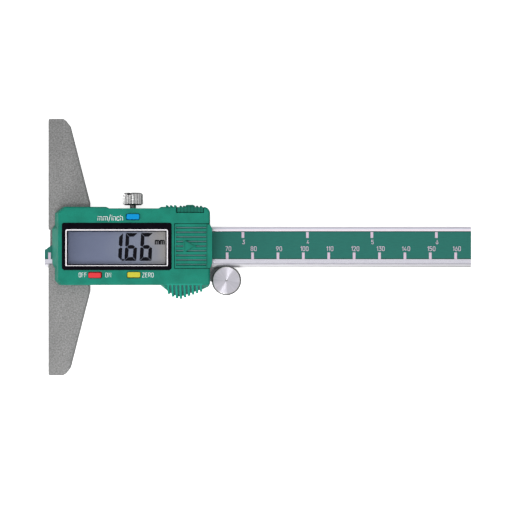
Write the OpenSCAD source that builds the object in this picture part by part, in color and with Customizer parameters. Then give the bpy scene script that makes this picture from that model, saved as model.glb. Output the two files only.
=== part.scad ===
// Digital depth gauge: a steel crosspiece with a measuring face, a graduated beam that slides
// through it, and a moulded display housing with a thumb roller and a lock screw.
// The measuring face is at X = 0, the beam runs along +X with its centre line on Y = 0,
// and the back of the crosspiece is at Z = 0. All sizes are in millimetres.

/* [Crosspiece and rails] */
// Length of the crosspiece, across the beam
base_span = 100.8; // [80:0.1:160]
// Width of the crosspiece at its two ends
base_end_w = 6; // [4:0.1:7]
// Width of the crosspiece where each end begins to narrow
base_shoulder_w = 8; // [7.5:0.1:12]
// Length of the narrowing at each end
base_end_len = 2.5; // [1.5:0.1:6]
// Width of the crosspiece in the middle
base_mid_w = 15.75; // [14:0.05:18]
// Half length of the full width in the middle
base_mid_half = 17.5; // [16.5:0.1:24]
// Thickness of the bridge behind the beam
bridge_t = 2.2; // [2:0.1:3]
// Thickness of the lips in front of the beam
lip_t = 1.1; // [0.8:0.1:2]
// How far each lip reaches over the beam
lip_over = 1.15; // [0.6:0.05:1.6]
// Right-hand end of the rails, from the measuring face
rail_end = 62; // [61.5:0.1:62.4]
// Distance of the rails' edges inside the housing's edges
rail_inset = 0.6; // [0.3:0.1:1]

/* [Beam and scale] */
// Overall length of the beam
beam_len = 168; // [164:1:260]
// Width of the beam
beam_w = 16; // [15:0.1:17]
// Thickness of the beam
beam_t = 3.6; // [3.2:0.1:4.2]
// Sliding clearance round the beam
beam_gap = 0.05; // [0.03:0.01:0.1]
// How far the rod's tip stands out past the measuring face
reading = 1.66; // [0:0.01:6]
// Distance of the stop screw from the beam's right-hand end
stop_inset = 8.4; // [6:0.1:12]
// Length of the flat at the rod's tip
tip_flat = 6.9; // [4:0.1:10]
// Length of the bevel behind the tip
tip_bevel_len = 13.5; // [8:0.1:20]
// Width of the beam's upper front chamfer
chamfer_top = 0.7; // [0.3:0.1:1.2]
// Width of the beam's lower front chamfer
chamfer_low = 1.1; // [0.3:0.1:1.5]
// Depth of both front chamfers
chamfer_d = 0.45; // [0.2:0.05:0.6]
// Width of the recess for the scale
scale_w = 10.94; // [9:0.01:11.5]
// Height of the scale's centre above the beam's centre line
scale_y = 0.75; // [-0.5:0.01:1]
// Depth of the recess for the scale
scale_d = 0.6; // [0.55:0.05:0.9]
// Thickness of the scale's electrode strip
strip_t = 0.4; // [0.3:0.05:0.4]
// Thickness of the printed label on the strip
label_t = 0.1; // [0.05:0.01:0.12]
// Place of the scale's zero, from the measuring face
scale_zero = 0.25; // [-1:0.05:1]
// Length of each centimetre mark
mark_len = 2.6; // [1:0.1:3]
// Length of each inch mark
inch_mark_len = 2.3; // [1:0.1:3]
// Distance of the inch marks from the label's upper edge
inch_mark_gap = 0.3; // [0:0.05:1]
// Width of each scale mark
mark_w = 1.05; // [0.4:0.05:1.2]
// Height of the head of the stop screw
stop_head_h = 1.9; // [1.6:0.1:2.1]

/* [Housing] */
// Depth of the housing in front of the rails
housing_h = 8; // [7.8:0.1:10]
// Upper edge of the housing, above the beam's centre line
housing_top = 15.6; // [15.3:0.1:17]
// Lower edge of the housing, below the centre line
housing_low = 14.8; // [14.6:0.1:16]
// Left edge of the housing at its foot
housing_left = 2.8; // [2.6:0.05:3.6]
// Right edge of the housing
housing_right = 63.6; // [63.3:0.1:63.7]
// Left edge of the housing's front face
front_left = 4.9; // [4.7:0.05:5.4]
// How far the nose over the slot stands out to the left
nose_out = 1.1; // [0.5:0.05:2]
// Height of the upright part of the left end
skirt_h = 1.5; // [1:0.1:3]
// Thickness of the front wall
front_wall = 1.6; // [1.5:0.1:1.8]
// Thickness of the side walls
side_wall = 1.3; // [1:0.1:1.5]
// Width of the softened edge round the front face
front_edge = 0.5; // [0.3:0.1:0.8]
// Width of the slope along the lower edge of the front face
low_edge = 1.3; // [0.5:0.1:1.4]
// Radius of the upper right corner
corner_r = 2.3; // [1:0.1:2.5]
// Depth of the long dip in the upper edge
dip_d = 0.6; // [0.3:0.1:0.8]

/* [Thumb grip] */
// Number of ribs on the grip
grip_ribs = 9; // [5:1:9]
// Distance from rib to rib
grip_pitch = 1.58; // [1.3:0.01:1.6]
// Width of each rib
grip_rib_w = 0.8; // [0.5:0.05:1]
// Position of the first rib
grip_x = 47.5; // [47:0.1:48]
// Reach of the longest rib below the centre line
grip_reach = 20.25; // [18:0.05:21]
// How far the ribs stand out from the valleys
grip_relief = 0.9; // [0.3:0.05:1]

/* [Display] */
// Left edge of the bezel
bezel_x = 6.4; // [6.2:0.1:6.8]
// Length of the bezel
bezel_l = 42.4; // [40:0.1:42.4]
// Height of the bezel
bezel_h = 18; // [17.4:0.1:18.2]
// Height of the bezel's centre above the centre line
bezel_y = 0.28; // [0:0.01:0.5]
// How far the bezel stands out of the front face
bezel_proud = 0.25; // [0.1:0.05:0.5]
// Frame width of the bezel at its left and right sides
bezel_side = 2.2; // [2:0.1:3]
// Frame width of the bezel along its top
bezel_top = 3.3; // [2.5:0.1:4]
// Frame width of the bezel along its bottom
bezel_low = 2; // [1.6:0.1:3]
// Width of the white line round the window
line_w = 0.45; // [0.3:0.05:0.7]
// Thickness of the clear window
window_t = 0.8; // [0.6:0.1:1]
// Thickness of the liquid crystal panel
lcd_t = 1.8; // [1.2:0.1:2]

/* [Buttons] */
// Length of a button
button_l = 4.9; // [4:0.1:5.4]
// Height of a button
button_h = 2; // [1.6:0.1:2.2]
// How far a button stands out of the front face
button_proud = 0.55; // [0.5:0.05:0.8]
// Travel of a button
button_travel = 0.5; // [0.2:0.05:0.5]
// Gap round a button in the front wall
button_gap = 0.25; // [0.1:0.01:0.3]
// Centre of the unit button along the beam
unit_x = 33.8; // [31:0.1:36]
// Centre of the unit button above the centre line
unit_y = 11.65; // [11.5:0.05:11.8]
// Centre of the power button along the beam
power_x = 19.2; // [17:0.1:22]
// Centre of the zero button along the beam
zero_x = 34.15; // [31:0.1:37]
// Centre of both lower buttons below the centre line
low_button_y = 10.85; // [10.85:0.05:11.2]

/* [Battery and its cover] */
// Diameter of the battery
cell_d = 11.6; // [10:0.1:11.6]
// Thickness of the battery
cell_t = 5.4; // [4.8:0.1:5.4]
// Left edge of the battery cover
cover_x = 50.1; // [49.9:0.1:50.3]
// Upper edge of the battery cover
cover_top = 8.9; // [8.6:0.1:9]
// Lower edge of the battery cover, below the centre line
cover_low = 8.2; // [8:0.1:8.4]
// Thickness of the battery cover
cover_t = 1.2; // [1.1:0.1:1.3]
// How far the cover's end stands out past the housing
cover_out = 0.95; // [0.6:0.05:1.2]
// Height of the cover's end, down from the front face
cover_end_h = 5.7; // [4:0.1:5.8]
// Number of grooves in the cover
cover_grooves = 9; // [5:1:9]
// Distance from groove to groove
groove_pitch = 1.79; // [1.5:0.01:1.8]
// Width of each groove
groove_w = 0.95; // [0.4:0.05:1]
// Depth of each groove
groove_d = 0.5; // [0.2:0.05:0.5]

/* [Data port cover] */
// Left edge of the port cover
port_x = 50.8; // [50.6:0.1:51]
// Length of the port cover
port_l = 10.4; // [9.8:0.05:10.6]
// Lower edge of the port cover above the centre line
port_y = 13.5; // [13.3:0.1:13.6]
// Length of the rounded pull on the port cover
port_pull_l = 3.7; // [2.6:0.1:4.2]
// How far the pull stands out past the housing's upper edge
port_pull_out = 0.8; // [0.4:0.05:1.2]

/* [Lock screw] */
// Position of the lock screw along the beam
lock_x = 33; // [30:0.1:38]
// Radius of its knurled head
lock_head_r = 3.95; // [3:0.05:3.95]
// Length of its head
lock_head_l = 4.8; // [3:0.1:6]
// Gap between the housing's edge and the head
lock_head_gap = 1; // [0.6:0.1:3]
// Radius of its thread
lock_r = 1.2; // [1:0.05:1.4]
// Width of the slot across its head
lock_slot_w = 1.5; // [0.6:0.1:1.6]

/* [Thumb roller] */
// Position of the roller along the beam
roller_x = 70; // [70:0.1:71]
// Radius of the part that drives the beam's edge
roller_grip_r = 5.05; // [4.6:0.05:5.05]
// Radius of the roller's disc
roller_disc_r = 5.9; // [5.4:0.05:5.9]
// Thickness of the roller's disc
roller_disc_t = 2.5; // [1.5:0.1:2.6]
// Gap between the roller and the beam's edge
roller_gap = 0.05; // [0.03:0.01:0.1]
// Radius of the roller's axle
axle_r = 1.5; // [1:0.05:2]
// Radial clearance of a turning shaft
shaft_gap = 0.03; // [0.01:0.01:0.08]
// Thickness of the roller's bracket
bracket_t = 1.6; // [1.2:0.1:1.8]

/* [Back plate and screws] */
// Thickness of the back plate
plate_t = 1.2; // [1:0.1:1.6]
// Half width of the back plate
plate_half = 13.5; // [13.4:0.1:13.5]
// Thread radius of the long cover screws
cover_screw_r = 0.9; // [0.7:0.05:1]
// Head radius of the long cover screws
cover_head_r = 1.7; // [1.4:0.05:1.8]
// Thread radius of the short screws
short_screw_r = 0.75; // [0.6:0.05:0.8]
// Head radius of the short screws
short_head_r = 1.4; // [1.2:0.05:1.5]

/* [Hidden] */

$fn = 64;
// How far a cutting tool runs past the face that it cuts
cut = 1;
// Thickness of the thin slices that a blend is drawn through
slice = 0.01;
// Steps in a rounded corner of an outline
arc_steps = 6;

satin_steel = [0.58, 0.58, 0.58];
bright_steel = [0.8, 0.8, 0.84];
green = [0.13, 0.53, 0.45];
label_green = [0.18, 0.44, 0.38];

// Levels, from the back of the gauge to its front
slot_t = beam_t + 2 * beam_gap;
slot_top = bridge_t + slot_t;
frame_t = slot_top + lip_t;
beam_back = bridge_t + beam_gap;
beam_front = beam_back + beam_t;
mid_z = bridge_t + slot_t / 2;
front_z = frame_t + housing_h;
wall_z = front_z - front_wall;

// The slot, the lips and the rails
slot_half = beam_w / 2 + beam_gap;
window_half = beam_w / 2 - lip_over;
rail_top = housing_top - rail_inset;
rail_low = housing_low - rail_inset;
frame_corner_r = 0.6;
frame_bend_r = 2;

// Two-dimensional helpers: a corner is [x, y] or [x, y, radius]
function unit(v) = v / norm(v);
function flat(p) = [p[0], p[1]];
function corner(a, b, c, r) =
    let (u = unit(a - b), v = unit(c - b), half = acos(u * v) / 2,
         centre = b + unit(u + v) * r / sin(half),
         from = b + u * r / tan(half) - centre, to = b + v * r / tan(half) - centre,
         a0 = atan2(from[1], from[0]), turn = atan2(to[1], to[0]) - a0,
         sweep = turn > 180 ? turn - 360 : turn < -180 ? turn + 360 : turn)
    [for (i = [0:arc_steps])
        let (t = a0 + sweep * i / arc_steps) centre + r * [cos(t), sin(t)]];
function rounded(pts) =
    let (n = len(pts))
    [for (i = [0:n - 1])
        let (b = pts[i], a = pts[(i + n - 1) % n], c = pts[(i + 1) % n],
             r = is_undef(b[2]) ? 0 : b[2])
        each r > 0 ? corner(flat(a), flat(b), flat(c), r) : [flat(b)]];
function rect(x0, y0, x1, y1, r = 0) =
    rounded([[x0, y0, r], [x1, y0, r], [x1, y1, r], [x0, y1, r]]);

// A flat piece between two levels, and pieces extruded along X and along Y
module plate(pts, z0, z1) {
    translate([0, 0, z0]) linear_extrude(z1 - z0) polygon(pts);
}
module box(low, high) {
    translate(low) cube(high - low);
}
module along_x(x0, x1, pts) {
    translate([x0, 0, 0]) rotate([90, 0, 90]) linear_extrude(x1 - x0) polygon(pts);
}
module rod_y(x, z, y0, y1, r) {
    translate([x, y0, z]) rotate([-90, 0, 0]) cylinder(h = y1 - y0, r = r);
}
module rod_z(x, y, z0, z1, r) {
    translate([x, y, z0]) cylinder(h = z1 - z0, r = r);
}

// Countersunk screws, all driven from the back
head_h = 0.9;
head_sink = 0.05;
drive_w = 0.4;
drive_d = 0.4;
screw_gap = 0.03;
module csk_screw(p, z1, r, head_r) {
    translate([p[0], p[1], head_sink])
    difference() {
        union() {
            cylinder(h = z1 - head_sink, r = r);
            cylinder(h = head_h, r1 = head_r, r2 = r);
        }
        translate([-head_r, -drive_w / 2, -cut]) cube([2 * head_r, drive_w, cut + drive_d]);
    }
}
module csk_hole(p, z1, r, head_r) {
    translate([p[0], p[1], 0]) {
        cylinder(h = z1 + screw_gap, r = r + screw_gap);
        translate([0, 0, head_sink])
            cylinder(h = head_h, r1 = head_r + screw_gap, r2 = r + screw_gap);
        translate([0, 0, -cut]) cylinder(h = cut + head_sink, r = head_r + screw_gap);
    }
}
screw_y = 11.5;
boss_roof = 2;
short_bite = 1;
cover_screw_z = wall_z - boss_roof;
short_screw_z = mid_z + short_bite;
left_screw_x = 10;
screw_inset = 3.5;
right_screw_x = cover_x - screw_inset;
cover_screw_at = [for (x = [left_screw_x, right_screw_x], s = [-1, 1]) [x, s * screw_y]];
plate_screw_at = [for (s = [-1, 1]) [base_mid_w + screw_inset, s * screw_y],
    [rail_end - screw_inset, screw_y]];
bracket_screw_back = [8.4, 2.6];
bracket_screw_at = [for (back = bracket_screw_back) [rail_end - back, -screw_y]];

// The back plate and the bracket share the recess behind the rails
plate_gap = 0.1;
plate_x = base_mid_w + plate_gap;
bracket_x = cover_x + 0.8;
// The bracket's inner edge lies this far outside the slot
split_land = 0.85;
split_y = slot_half + split_land;
function plate_pts(x0, x1, notch_x, notch_y, half) = [[x0, -half], [notch_x, -half],
    [notch_x, -notch_y], [x1, -notch_y], [x1, half], [x0, half]];

// The gib strip and its screws, in the upper rail
gib_t = 1;
gib_start = 2.6;
gib_end = 1.5;
gib_x = base_mid_w + gib_start;
gib_l = rail_end - gib_end - gib_x;
gib_screw_r = 1;
gib_screw_inset = 5.5;
gib_screw_x = [gib_x + gib_screw_inset, gib_x + gib_l - gib_screw_inset];
gib_screw_sink = 0.3;
gib_y = slot_half + gib_t;
lock_tip_y = gib_y + beam_gap;

module frame_outline() {
    h = base_span / 2;
    polygon(rounded([[0, -h, frame_corner_r], [base_end_w, -h, frame_corner_r],
        [base_shoulder_w, base_end_len - h, base_end_len / 2],
        [base_mid_w, -base_mid_half, frame_bend_r], [base_mid_w, -rail_low],
        [rail_end, -rail_low, frame_corner_r], [rail_end, rail_top, frame_corner_r],
        [base_mid_w, rail_top], [base_mid_w, base_mid_half, frame_bend_r],
        [base_shoulder_w, h - base_end_len, base_end_len / 2],
        [base_end_w, h, frame_corner_r], [0, h, frame_corner_r]]));
}

module base_frame() {
    color(satin_steel)
    difference() {
        linear_extrude(frame_t) frame_outline();
        // Slot for the beam, with its front window and the open back of the rails
        box([-cut, -slot_half, bridge_t], [rail_end + cut, slot_half, slot_top]);
        box([-cut, -window_half, bridge_t + slot_t / 2],
            [rail_end + cut, window_half, frame_t + cut]);
        box([base_mid_w, -slot_half, -cut], [rail_end + cut, slot_half, mid_z]);
        // Pocket for the gib strip
        box([gib_x - beam_gap, slot_half - slice, bridge_t],
            [gib_x + gib_l + beam_gap, gib_y + beam_gap / 2, slot_top]);
        // Recess for the back plate and for the bracket
        plate(plate_pts(base_mid_w, rail_end + cut, bracket_x - plate_gap, split_y,
            plate_half + plate_gap), -cut, plate_t);
        box([bracket_x - plate_gap, -plate_half - plate_gap, -cut],
            [rail_end + cut, -split_y, bracket_t]);
        for (p = cover_screw_at) csk_hole(p, frame_t + cut, cover_screw_r, cover_head_r);
        for (p = concat(plate_screw_at, bracket_screw_at))
            csk_hole(p, short_screw_z, short_screw_r, short_head_r);
        rod_y(lock_x, mid_z, slot_half, rail_top + cut, lock_r + shaft_gap);
        for (x = gib_screw_x)
            rod_y(x, mid_z, slot_half, rail_top + cut, gib_screw_r + screw_gap);
    }
}

module back_plate() {
    color(bright_steel)
    difference() {
        plate(plate_pts(plate_x, rail_end, bracket_x - 2 * plate_gap, split_y - plate_gap / 2,
            plate_half), 0, plate_t);
        for (p = cover_screw_at) csk_hole(p, frame_t, cover_screw_r, cover_head_r);
        for (p = plate_screw_at) csk_hole(p, frame_t, short_screw_r, short_head_r);
    }
}

module back_plate_screws() {
    color("dimgray")
    for (p = plate_screw_at) csk_screw(p, short_screw_z, short_screw_r, short_head_r);
}

module cover_screws() {
    color("dimgray")
    for (p = cover_screw_at) csk_screw(p, cover_screw_z, cover_screw_r, cover_head_r);
}

module gib_strip() {
    color("peru")
    box([gib_x, slot_half, beam_back], [gib_x + gib_l, gib_y, beam_front]);
}

module gib_screws() {
    color("dimgray")
    for (x = gib_screw_x)
        difference() {
            rod_y(x, mid_z, gib_y, rail_top - gib_screw_sink, gib_screw_r);
            box([x - gib_screw_r, rail_top - gib_screw_sink - drive_d, mid_z - drive_w / 2],
                [x + gib_screw_r, rail_top, mid_z + drive_w / 2]);
        }
}

// A knurled band: a ring of teeth with flat flanks
function knurl(r, depth, teeth) =
    [for (i = [0:2 * teeth - 1])
        let (t = 180 * i / teeth) (i % 2 == 0 ? r : r - depth) * [cos(t), sin(t)]];
knurl_d = 0.25;
core_step = 0.03;
lock_edge = 0.4;
lock_slot_d = 0.9;
lock_teeth = 30;
lock_slot_turn = -19;
lock_head_y = housing_top + lock_head_gap;

module lock_screw() {
    core_r = lock_head_r - knurl_d - core_step;
    color(bright_steel)
    translate([lock_x, 0, mid_z]) rotate([-90, 0, 0])
    difference() {
        union() {
            translate([0, 0, lock_tip_y]) cylinder(h = lock_head_y + cut - lock_tip_y, r = lock_r);
            translate([0, 0, lock_head_y + lock_edge])
                linear_extrude(lock_head_l - 2 * lock_edge)
                polygon(knurl(lock_head_r, knurl_d, lock_teeth));
            translate([0, 0, lock_head_y])
                cylinder(h = lock_edge, r1 = core_r - lock_edge, r2 = core_r);
            translate([0, 0, lock_head_y + lock_head_l - lock_edge])
                cylinder(h = lock_edge, r1 = core_r, r2 = core_r - lock_edge);
        }
        rotate([0, 0, lock_slot_turn])
            translate([-lock_slot_w / 2, -lock_head_r - cut, lock_head_y + lock_head_l - lock_slot_d])
            cube([lock_slot_w, 2 * (lock_head_r + cut), lock_slot_d + cut]);
    }
}

// The beam and its scale
beam_x0 = -reading;
beam_x1 = beam_len - reading;
scale_y0 = scale_y - scale_w / 2;
scale_y1 = scale_y + scale_w / 2;
strip_z = beam_front - scale_d;
label_z = strip_z + strip_t;
mark_z = label_z + label_t;
mark_t = 0.03;
tip_y = tip_flat - beam_w / 2;
stop_head_r = 1.6;
stop_r = 0.9;
stop_depth = 1.8;
stop_x = beam_x1 - stop_inset;

// What the bevel behind the tip takes away, drawn past the beam's edge
bevel_run = 1.2;
module tip_bevel() {
    reach = bevel_run * [tip_bevel_len, beam_w / 2 - tip_y];
    plate([[beam_x0 - cut, tip_y], [beam_x0, tip_y], [beam_x0 + reach[0], tip_y + reach[1]],
        [beam_x0 - cut, tip_y + reach[1]]], 0, frame_t);
}

module beam() {
    half = beam_w / 2;
    color(bright_steel)
    difference() {
        along_x(beam_x0, beam_x1, [[-half, beam_back], [half, beam_back],
            [half, beam_front - chamfer_d], [half - chamfer_top, beam_front],
            [chamfer_low - half, beam_front], [-half, beam_front - chamfer_d]]);
        box([beam_x0 - cut, scale_y0, strip_z], [beam_x1 + cut, scale_y1, beam_front + cut]);
        tip_bevel();
        rod_z(stop_x, 0, beam_back - cut, beam_back + stop_depth, stop_r + screw_gap);
    }
}

module scale_layer(z0, z1) {
    difference() {
        box([beam_x0, scale_y0, z0], [beam_x1, scale_y1, z1]);
        tip_bevel();
    }
}

module scale_strip() {
    color("goldenrod") scale_layer(strip_z, label_z);
}

module scale_label() {
    color(label_green) scale_layer(label_z, mark_z);
}

// A mark at every centimetre along the lower edge and at every inch along the upper edge
cm = 10;
inch = 25.4;
marks_end = beam_x1 - mark_w;
inch_y1 = scale_y1 - inch_mark_gap;
module scale_marks() {
    color("white")
    difference() {
        union() {
            for (x = [scale_zero:cm:marks_end])
                box([x - mark_w / 2, scale_y0, mark_z],
                    [x + mark_w / 2, scale_y0 + mark_len, mark_z + mark_t]);
            for (x = [scale_zero + inch:inch:marks_end])
                box([x - mark_w / 2, inch_y1 - inch_mark_len, mark_z],
                    [x + mark_w / 2, inch_y1, mark_z + mark_t]);
        }
        tip_bevel();
    }
}

module stop_screw() {
    color("dimgray")
    difference() {
        union() {
            rod_z(stop_x, 0, beam_back - stop_head_h, beam_back, stop_head_r);
            rod_z(stop_x, 0, beam_back - slice, beam_back + stop_depth - screw_gap, stop_r);
        }
        box([stop_x - stop_head_r, -drive_w / 2, 0],
            [stop_x + stop_head_r, drive_w / 2, beam_back - stop_head_h + drive_d]);
    }
}

// The thumb roller, on a pin that stands in a bracket behind the lower rail
roller_y = -(beam_w / 2 + roller_gap + roller_grip_r);
shoulder_t = 0.35;
shoulder_w = 1;
shoulder_r = axle_r + shoulder_w;
roller_z0 = bracket_t + shoulder_t + beam_gap;
grip_z1 = beam_front - beam_gap;
disc_lift = 0.3;
disc_z0 = beam_front + disc_lift;
disc_z1 = disc_z0 + roller_disc_t;
disc_edge = 0.45;
grip_chamfer = 0.3;
neck_step = 0.5;
dimple_r = 0.7;
dimple_d = 0.35;
axle_z1 = disc_z0 - beam_gap;
bracket_boss_r = 3.6;
bracket_corner_r = 0.5;
bracket_web_x = rail_end + 1.5;
bracket_top_x = roller_x - 2.2;
bracket_top_y = 0.8 - slot_half;
bracket_top_r = 0.8;
roller_teeth = 60;

module roller_bracket() {
    boss_low = roller_y - bracket_boss_r;
    inner_y = -split_y - plate_gap / 2;
    inner_x = rail_end + plate_gap;
    color([0.12, 0.12, 0.13])
    difference() {
        union() {
            plate(rounded([[bracket_x, -plate_half, bracket_corner_r], [bracket_web_x, -plate_half],
                [roller_x, boss_low], [roller_x, roller_y],
                [bracket_top_x, bracket_top_y, bracket_top_r], [inner_x, bracket_top_y],
                [inner_x, inner_y], [bracket_x, inner_y, bracket_corner_r]]), 0, bracket_t);
            rod_z(roller_x, roller_y, 0, bracket_t, bracket_boss_r);
        }
        for (p = bracket_screw_at) csk_hole(p, frame_t, short_screw_r, short_head_r);
        rod_z(roller_x, roller_y, -cut, bracket_t + cut, axle_r + screw_gap);
    }
}

module bracket_screws() {
    color("dimgray")
    for (p = bracket_screw_at) csk_screw(p, short_screw_z, short_screw_r, short_head_r);
}

module roller_axle() {
    color(bright_steel) {
        rod_z(roller_x, roller_y, head_sink, axle_z1, axle_r);
        rod_z(roller_x, roller_y, bracket_t, bracket_t + shoulder_t, shoulder_r);
    }
}

module thumb_roller() {
    core_r = roller_disc_r - knurl_d - core_step;
    bore_r = axle_r + shaft_gap;
    color(bright_steel)
    translate([roller_x, roller_y, 0]) {
        rotate_extrude()
            polygon([[bore_r, roller_z0], [roller_grip_r - grip_chamfer, roller_z0],
                [roller_grip_r, roller_z0 + grip_chamfer], [roller_grip_r, grip_z1 - grip_chamfer],
                [roller_grip_r - neck_step, grip_z1], [roller_grip_r - neck_step, disc_z0],
                [core_r - disc_edge, disc_z0], [core_r, disc_z0 + disc_edge],
                [0, disc_z0 + disc_edge], [0, disc_z0], [bore_r, disc_z0]]);
        translate([0, 0, disc_z0 + disc_edge])
            linear_extrude(disc_z1 - disc_z0 - 2 * disc_edge)
            polygon(knurl(roller_disc_r, knurl_d, roller_teeth));
        // Chamfered face with a small dimple in its centre
        rotate_extrude()
            polygon([[0, disc_z1 - disc_edge], [core_r, disc_z1 - disc_edge],
                [core_r - disc_edge, disc_z1], [dimple_r, disc_z1], [0, disc_z1 - dimple_d]]);
    }
}

// The moulded housing: its left corners are cut off by these lengths along X and along Y
low_cut = [1.6, 1.8];
top_cut = [2.8, 2.4];
low_corner_r = 1;
cut_corner_r = 0.5;
foot_z = frame_t + skirt_h;
edge_z = front_z - front_edge;
function slope_x(z, foot) =
    z < foot_z ? foot : foot + (front_left - foot) * (z - foot_z) / (front_z - foot_z);
function housing_pts(left, e, low) = rounded([[left, low_cut[1] + low - housing_low],
    [left + low_cut[0], low - housing_low], [housing_right - e, low - housing_low, low_corner_r],
    [housing_right - e, housing_top - e, corner_r],
    [left + top_cut[0], housing_top - e, cut_corner_r],
    [left, housing_top - top_cut[1] - e, cut_corner_r]]);

// The nose over the slot, with a slope at each end
nose_top = 7.2;
nose_low = 6.2;
nose_slope_top = 1.4;
nose_slope_low = 2.3;
nose_root = front_left + 1;
module nose_pts(x) {
    low = -nose_low - nose_slope_low;
    top = nose_top + nose_slope_top;
    polygon([[x, nose_top], [x, -nose_low], [x + nose_out, low], [nose_root, low],
        [nose_root, top], [x + nose_out, top]]);
}

// The grip's edge: a round shoulder on the left that runs into a straight slope
grip_top = 14.2;
grip_peak = grip_x + 3 * grip_pitch;
grip_bow = 0.085;
grip_slope = 0.35;
function grip_end(x) = grip_reach
    - (x < grip_peak ? grip_bow * pow(x - grip_peak, 2) : grip_slope * (x - grip_peak));
// Section of a rib: a shallow top, a long slope and a rounded tip
grip_bury = 1;
grip_sink = 0.6;
grip_tip = 1.1;
grip_tip_h = 4.6;
grip_face_h = 3.4;
grip_tip_z = frame_t + grip_tip_h;
grip_face_z = frame_t + grip_face_h;
grip_foot = 0.4;
function grip_section(end, drop) = [[grip_bury - grip_top, frame_t],
    [grip_bury - grip_top, front_z - grip_sink - drop], [-grip_top, front_z - grip_sink - drop],
    [grip_tip - end, grip_tip_z - drop], [-end, grip_face_z - drop],
    [-end, frame_t + grip_foot], [grip_foot - end, frame_t]];
// Outline of the web behind the ribs, measured from the first and the last rib
grip_web_left = 3.4;
grip_web_start = 0.3;
grip_web_end = 0.7;
grip_web_in = 1;
grip_heel = [0.65, 0.7];
grip_root = 2;
grip_top_left = 2.5;

module grip() {
    for (i = [0:grip_ribs - 1]) {
        x = grip_x + i * grip_pitch;
        along_x(x - grip_rib_w / 2, x + grip_rib_w / 2, grip_section(grip_end(x), 0));
        if (i < grip_ribs - 1)
            along_x(x, x + grip_pitch,
                grip_section(grip_end(x + grip_pitch / 2) - grip_relief, grip_relief));
    }
    grip_x1 = grip_x + (grip_ribs - 1) * grip_pitch;
    top_y = grip_sink - housing_low;
    web_z = edge_z - grip_relief;
    hull() {
        plate([[grip_x - grip_web_left, -housing_low],
            [grip_x - grip_web_start, grip_web_in - grip_end(grip_x)],
            [grip_x1 + grip_web_end, grip_web_in - grip_end(grip_x1)],
            [housing_right - grip_heel[0], -housing_low - grip_heel[1]],
            [housing_right, front_edge - housing_low], [housing_right, grip_root - housing_low]],
            frame_t, grip_face_z - grip_relief);
        plate([[grip_x - grip_top_left, top_y], [housing_right - front_edge, top_y],
            [housing_right - front_edge, grip_root - housing_low]], web_z - slice, web_z);
    }
}

dip_left = 9.5;
dip_right = 10;
dip_run = 1;
dip_x0 = unit_x - dip_left;
dip_x1 = unit_x + dip_right;
port_gap = 0.25;
top_rib_r = 0.4;
top_rib_out = 0.3;
top_rib_foot = 0.6;
top_rib_pitch = 1.6;
top_rib_x = [for (i = [0:2]) port_x - port_gap - top_rib_r - i * top_rib_pitch];

module housing_body() {
    hull() {
        plate(housing_pts(housing_left, 0, 0), frame_t, foot_z);
        plate(housing_pts(slope_x(edge_z, housing_left), 0, 0), edge_z - slice, edge_z);
        plate(housing_pts(front_left, front_edge, low_edge), front_z - slice, front_z);
    }
    hull() {
        translate([0, 0, frame_t]) linear_extrude(skirt_h) nose_pts(housing_left - nose_out);
        translate([0, 0, front_z - slice]) linear_extrude(slice)
            polygon(rect(front_left, -nose_low, nose_root, nose_top));
    }
    grip();
    for (x = top_rib_x)
        rod_z(x, housing_top + top_rib_out, frame_t + top_rib_foot, edge_z, top_rib_r);
}

// The space inside: the main cavity, the battery bay and the walls that stay between
part_t = 0.9;
part_x1 = cover_x + 0.3;
part_x0 = part_x1 - part_t;
left_wall = 0.6;
cavity_x0 = front_left + left_wall;
cavity_x1 = housing_right - side_wall;
cavity_low_r = 1;
cavity_top_r = 2.4;
ledge_z1 = front_z - cover_t;
ledge_z0 = ledge_z1 - cover_t;
port_wall_t = 1.15;
port_back = port_y - port_gap;
port_wall = port_back - port_wall_t;
cell_x = (part_x1 + cavity_x1) / 2;
cell_y = (cover_top - cover_low) / 2;
cell_gap = 0.2;
cradle_wall = 0.9;
board_t = 0.8;
board_z1 = frame_t + board_t;
cell_z0 = ledge_z1 - cell_gap - cell_t;
cradle_r = cell_d / 2 + cell_gap + cradle_wall;
cradle_z0 = board_z1 + 0.1;

module cavity() {
    low = side_wall - housing_low;
    top = housing_top - dip_d - side_wall;
    plate(rounded([[cavity_x0, low, cavity_low_r], [part_x0, low], [part_x0, top],
        [cavity_x0, top, cavity_top_r]]), frame_t - cut, wall_z);
    difference() {
        box([part_x1, low, frame_t - cut], [cavity_x1, port_wall, ledge_z0]);
        rod_z(cell_x, cell_y, cradle_z0, front_z, cradle_r);
    }
    // The board runs on under the partition beside the battery bay
    box([part_x0 - slice, low, frame_t - cut], [part_x1 + slice, port_wall, cradle_z0]);
}

boss_r = cover_screw_r + 0.9;
module bosses() {
    for (p = cover_screw_at) rod_z(p[0], p[1], frame_t, wall_z + slice, boss_r);
}

// The cover's plate, grown by a gap for its recess in the housing
function cover_pts(g, x1) = [[cover_x - g, -cover_low - g], [x1, -cover_low - g],
    [x1, cover_top + g], [cover_x - g, cover_top + g]];
cover_gap = 0.25;
cover_run = 2;
tongue_t = 0.55;
tongue_w = 0.6;
tongue_x0 = cover_x + 1;
tongue_z0 = ledge_z1;

contact_w = 3.4;
contact_gap = 0.1;
pip_hole_r = cell_d / 2 - 1;
port_mid = port_x + port_l / 2;
port_foot = 1;
port_plug_half = port_l / 2 - 1.5;
port_plug_z0 = frame_t + 2.3;
port_plug_z1 = ledge_z0 - 0.3;

button_hole_r = 0.6;
module button_hole(x, y) {
    half = [button_l / 2 + button_gap, button_h / 2 + button_gap];
    plate(rect(x - half[0], y - half[1], x + half[0], y + half[1], button_hole_r),
        wall_z - cut, front_z + cut);
}

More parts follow.
